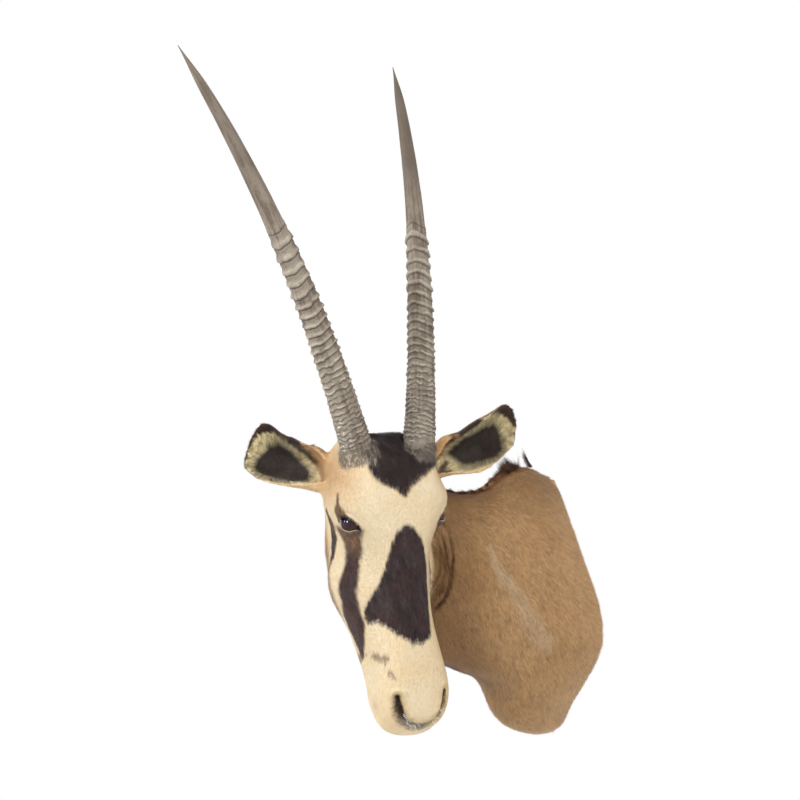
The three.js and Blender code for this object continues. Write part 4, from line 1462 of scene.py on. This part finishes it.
def make_stray_wisp():
    shape = (WISP_COUNT, 3)
    roots = np.array(STRAY_ROOT, float) + rng.normal(0, 1.0, shape) * [1.6, 1.6, 0.6]
    tips = np.array(STRAY_TIP, float) + rng.normal(0, 1.0, shape) * [1.3, 1.3, 4.5]
    return hair_strands("stray_wisp", roots, tips, rng.normal(0, 0.7, shape), WISP_WIDTH, DARK_RED)


# ---- Materials ----
def new_node(owner, kind, **values):
    """A shader node of a material or the world, with its inputs set."""
    node = owner.node_tree.nodes.new(kind)
    for name, value in values.items():
        node.inputs[name.replace("_", " ")].default_value = value
    return node


def principled(name, colour, roughness, **sockets):
    """A new material and its shader. Without a colour, it shows the mesh's own colours."""
    material = bpy.data.materials.new(name)
    material.use_nodes = True
    shader = material.node_tree.nodes["Principled BSDF"]
    shader.inputs["Roughness"].default_value = roughness
    for socket, value in sockets.items():
        shader.inputs[socket.replace("_", " ")].default_value = value
    if colour is None:
        layer = new_node(material, "ShaderNodeVertexColor")
        layer.layer_name = COLOUR_LAYER
        material.node_tree.links.new(layer.outputs["Color"], shader.inputs["Base Color"])
    else:
        shader.inputs["Base Color"].default_value = (*colour, 1)
    return material, shader


def noise_bump(material, shader, scale, strength, distance):
    links = material.node_tree.links
    place = new_node(material, "ShaderNodeTexCoord")
    grain = new_node(material, "ShaderNodeTexNoise", Scale=scale, Detail=6)
    bump = new_node(material, "ShaderNodeBump", Strength=strength, Distance=distance)
    links.new(place.outputs["Object"], grain.inputs["Vector"])
    links.new(grain.outputs["Fac"], bump.inputs["Height"])
    links.new(bump.outputs["Normal"], shader.inputs["Normal"])
    return grain


def coloured_material(name, roughness, bump=None, **sockets):
    """A material with the mesh's own colours and, where given, a bump: scale, strength and distance."""
    material, shader = principled(name, None, roughness, **sockets)
    if bump:
        noise_bump(material, shader, *bump)
    return material


def wood_material():
    """Pine with its grain running up the board."""
    material, shader = principled("board_pine", PINE_DARK, 0.7)
    links = material.node_tree.links
    place = new_node(material, "ShaderNodeTexCoord")
    squeeze = new_node(material, "ShaderNodeMapping", Scale=(60, 60, 4))
    grain = new_node(material, "ShaderNodeTexNoise", Scale=1.6, Detail=8)
    ramp = new_node(material, "ShaderNodeValToRGB")
    for step, position, colour in zip(ramp.color_ramp.elements, (0.35, 0.65), (PINE_DARK, PINE_PALE)):
        step.position = position
        step.color = (*colour, 1)
    bump = new_node(material, "ShaderNodeBump", Strength=0.25, Distance=0.0005)
    links.new(place.outputs["Object"], squeeze.inputs["Vector"])
    links.new(squeeze.outputs["Vector"], grain.inputs["Vector"])
    links.new(grain.outputs["Fac"], ramp.inputs["Fac"])
    links.new(ramp.outputs["Color"], shader.inputs["Base Color"])
    links.new(grain.outputs["Fac"], bump.inputs["Height"])
    links.new(bump.outputs["Normal"], shader.inputs["Normal"])
    return material


def steel_material():
    material, shader = principled("zinc_plated_steel", ZINC, 0.35, Metallic=1.0)
    grain = noise_bump(material, shader, 260, 0.1, 0.0003)
    blotch = new_node(material, "ShaderNodeMapRange", To_Min=0.28, To_Max=0.5)
    material.node_tree.links.new(grain.outputs["Fac"], blotch.inputs["Value"])
    material.node_tree.links.new(blotch.outputs["Result"], shader.inputs["Roughness"])
    return material


def dress(obj, material):
    obj.data.materials.clear()
    obj.data.materials.append(material)


# ---- The studio, in metres ----
CAMERA_AT = (2.118, -1.5935, 0.294)
CAMERA_LENS, CAMERA_SENSOR = 80, 36  # mm
FLOOR_HEIGHT = -1.1
FLOOR_SIZE = 3.2
FLOOR_PAINT = (0.86, 0.86, 0.85)
WHITE = (1, 1, 1, 1)
WORLD_STRENGTH = 0.76
LIGHT_TARGET = Vector((0.0, -0.3, 0.2))
LIGHTS = (  # name, place, side length and watts
    ("key", (2.4, -0.56, 2.0), 0.6, 40),
    ("side", (-0.3, -3.1, 1.25), 0.32, 36),
    ("rim", (-1.81, -2.2, 1.02), 0.26, 20),
)


def turned_towards(obj, place, way):
    """Puts a camera or light in the scene, looking along way."""
    bpy.context.scene.collection.objects.link(obj)
    obj.location = place
    obj.rotation_mode = "QUATERNION"
    obj.rotation_quaternion = way.to_track_quat("-Z", "Y")
    return obj


def make_studio():
    data = bpy.data.cameras.new("camera")
    data.lens = CAMERA_LENS
    data.sensor_width = CAMERA_SENSOR
    camera = bpy.data.objects.new("camera", data)
    bpy.context.scene.camera = turned_towards(camera, CAMERA_AT, Vector(-NECK_OUTWARD))
    corners = np.array([[-1, -1], [1, -1], [1, 1], [-1, 1]]) * FLOOR_SIZE / 2 / MM
    points = np.column_stack([corners, np.full(4, FLOOR_HEIGHT / MM)])
    floor = new_object("floor", new_mesh("floor", points, np.array([[0, 1, 2, 3]])))
    dress(floor, principled("floor_paint", FLOOR_PAINT, 0.9)[0])
    make_world()
    for light in LIGHTS:
        add_light(*light)
    bpy.context.scene.view_settings.view_transform = "Standard"


def make_world():
    """Soft white light from all round, with a plain white ground behind the object."""
    world = bpy.data.worlds.new("studio")
    world.use_nodes = True
    bpy.context.scene.world = world
    nodes, links = world.node_tree.nodes, world.node_tree.links
    soft = nodes["Background"]
    soft.inputs["Color"].default_value = WHITE
    soft.inputs["Strength"].default_value = WORLD_STRENGTH
    ground = new_node(world, "ShaderNodeBackground", Color=WHITE, Strength=1.0)
    seen = new_node(world, "ShaderNodeLightPath")
    either = new_node(world, "ShaderNodeMixShader")
    links.new(seen.outputs["Is Camera Ray"], either.inputs["Fac"])
    links.new(soft.outputs["Background"], either.inputs[1])
    links.new(ground.outputs["Background"], either.inputs[2])
    links.new(either.outputs["Shader"], nodes["World Output"].inputs["Surface"])


def add_light(name, place, size, power):
    data = bpy.data.lights.new(name, "AREA")
    data.shape = "SQUARE"
    data.size = size
    data.energy = power
    light = bpy.data.objects.new(name, data)
    turned_towards(light, place, LIGHT_TARGET - Vector(place))


# ---- The object ----
def build():
    make_studio()
    horn = coloured_material("horn_keratin", 0.58, (900, 0.4, 0.0005), Specular_IOR_Level=0.4)
    hair = coloured_material("coat_hair", 0.62, Specular_IOR_Level=0.28, Sheen_Weight=0.12)
    coat = {"Coat_Weight": 0.4, "Coat_Roughness": 0.02}
    glass = coloured_material("dark_glass", 0.08, Specular_IOR_Level=0.12, **coat)
    hide = coloured_material("skin", 0.75, (420, 0.35, 0.0006), Specular_IOR_Level=0.25)
    skin, homes = make_skin()
    set_colours(skin.data, bare_colours(homes, coat_colours(homes)))
    finish_piece(skin, hide, "head_and_neck_skin")
    for name, side in SIDES.items():
        finish_piece(make_horn(f"{name}_ringed_horn", side), horn, f"{name}_horn")
        finish_piece(make_eye(f"{name}_eyeball", side), glass, f"{name}_glass_eye")
        finish_piece(make_lashes(f"{name}_lashes", side), hair)
    for piece in make_coat(skin, homes) + [make_mane(skin, homes), make_whiskers(), make_stray_wisp()]:
        finish_piece(piece, hair)
    dress(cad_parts["back_board"], wood_material())
    dress(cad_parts["wall_hanger"], steel_material())


def finish_piece(piece, material, node=None):
    dress(piece, material)
    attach(piece, "root")
    if node:
        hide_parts(node)


build()
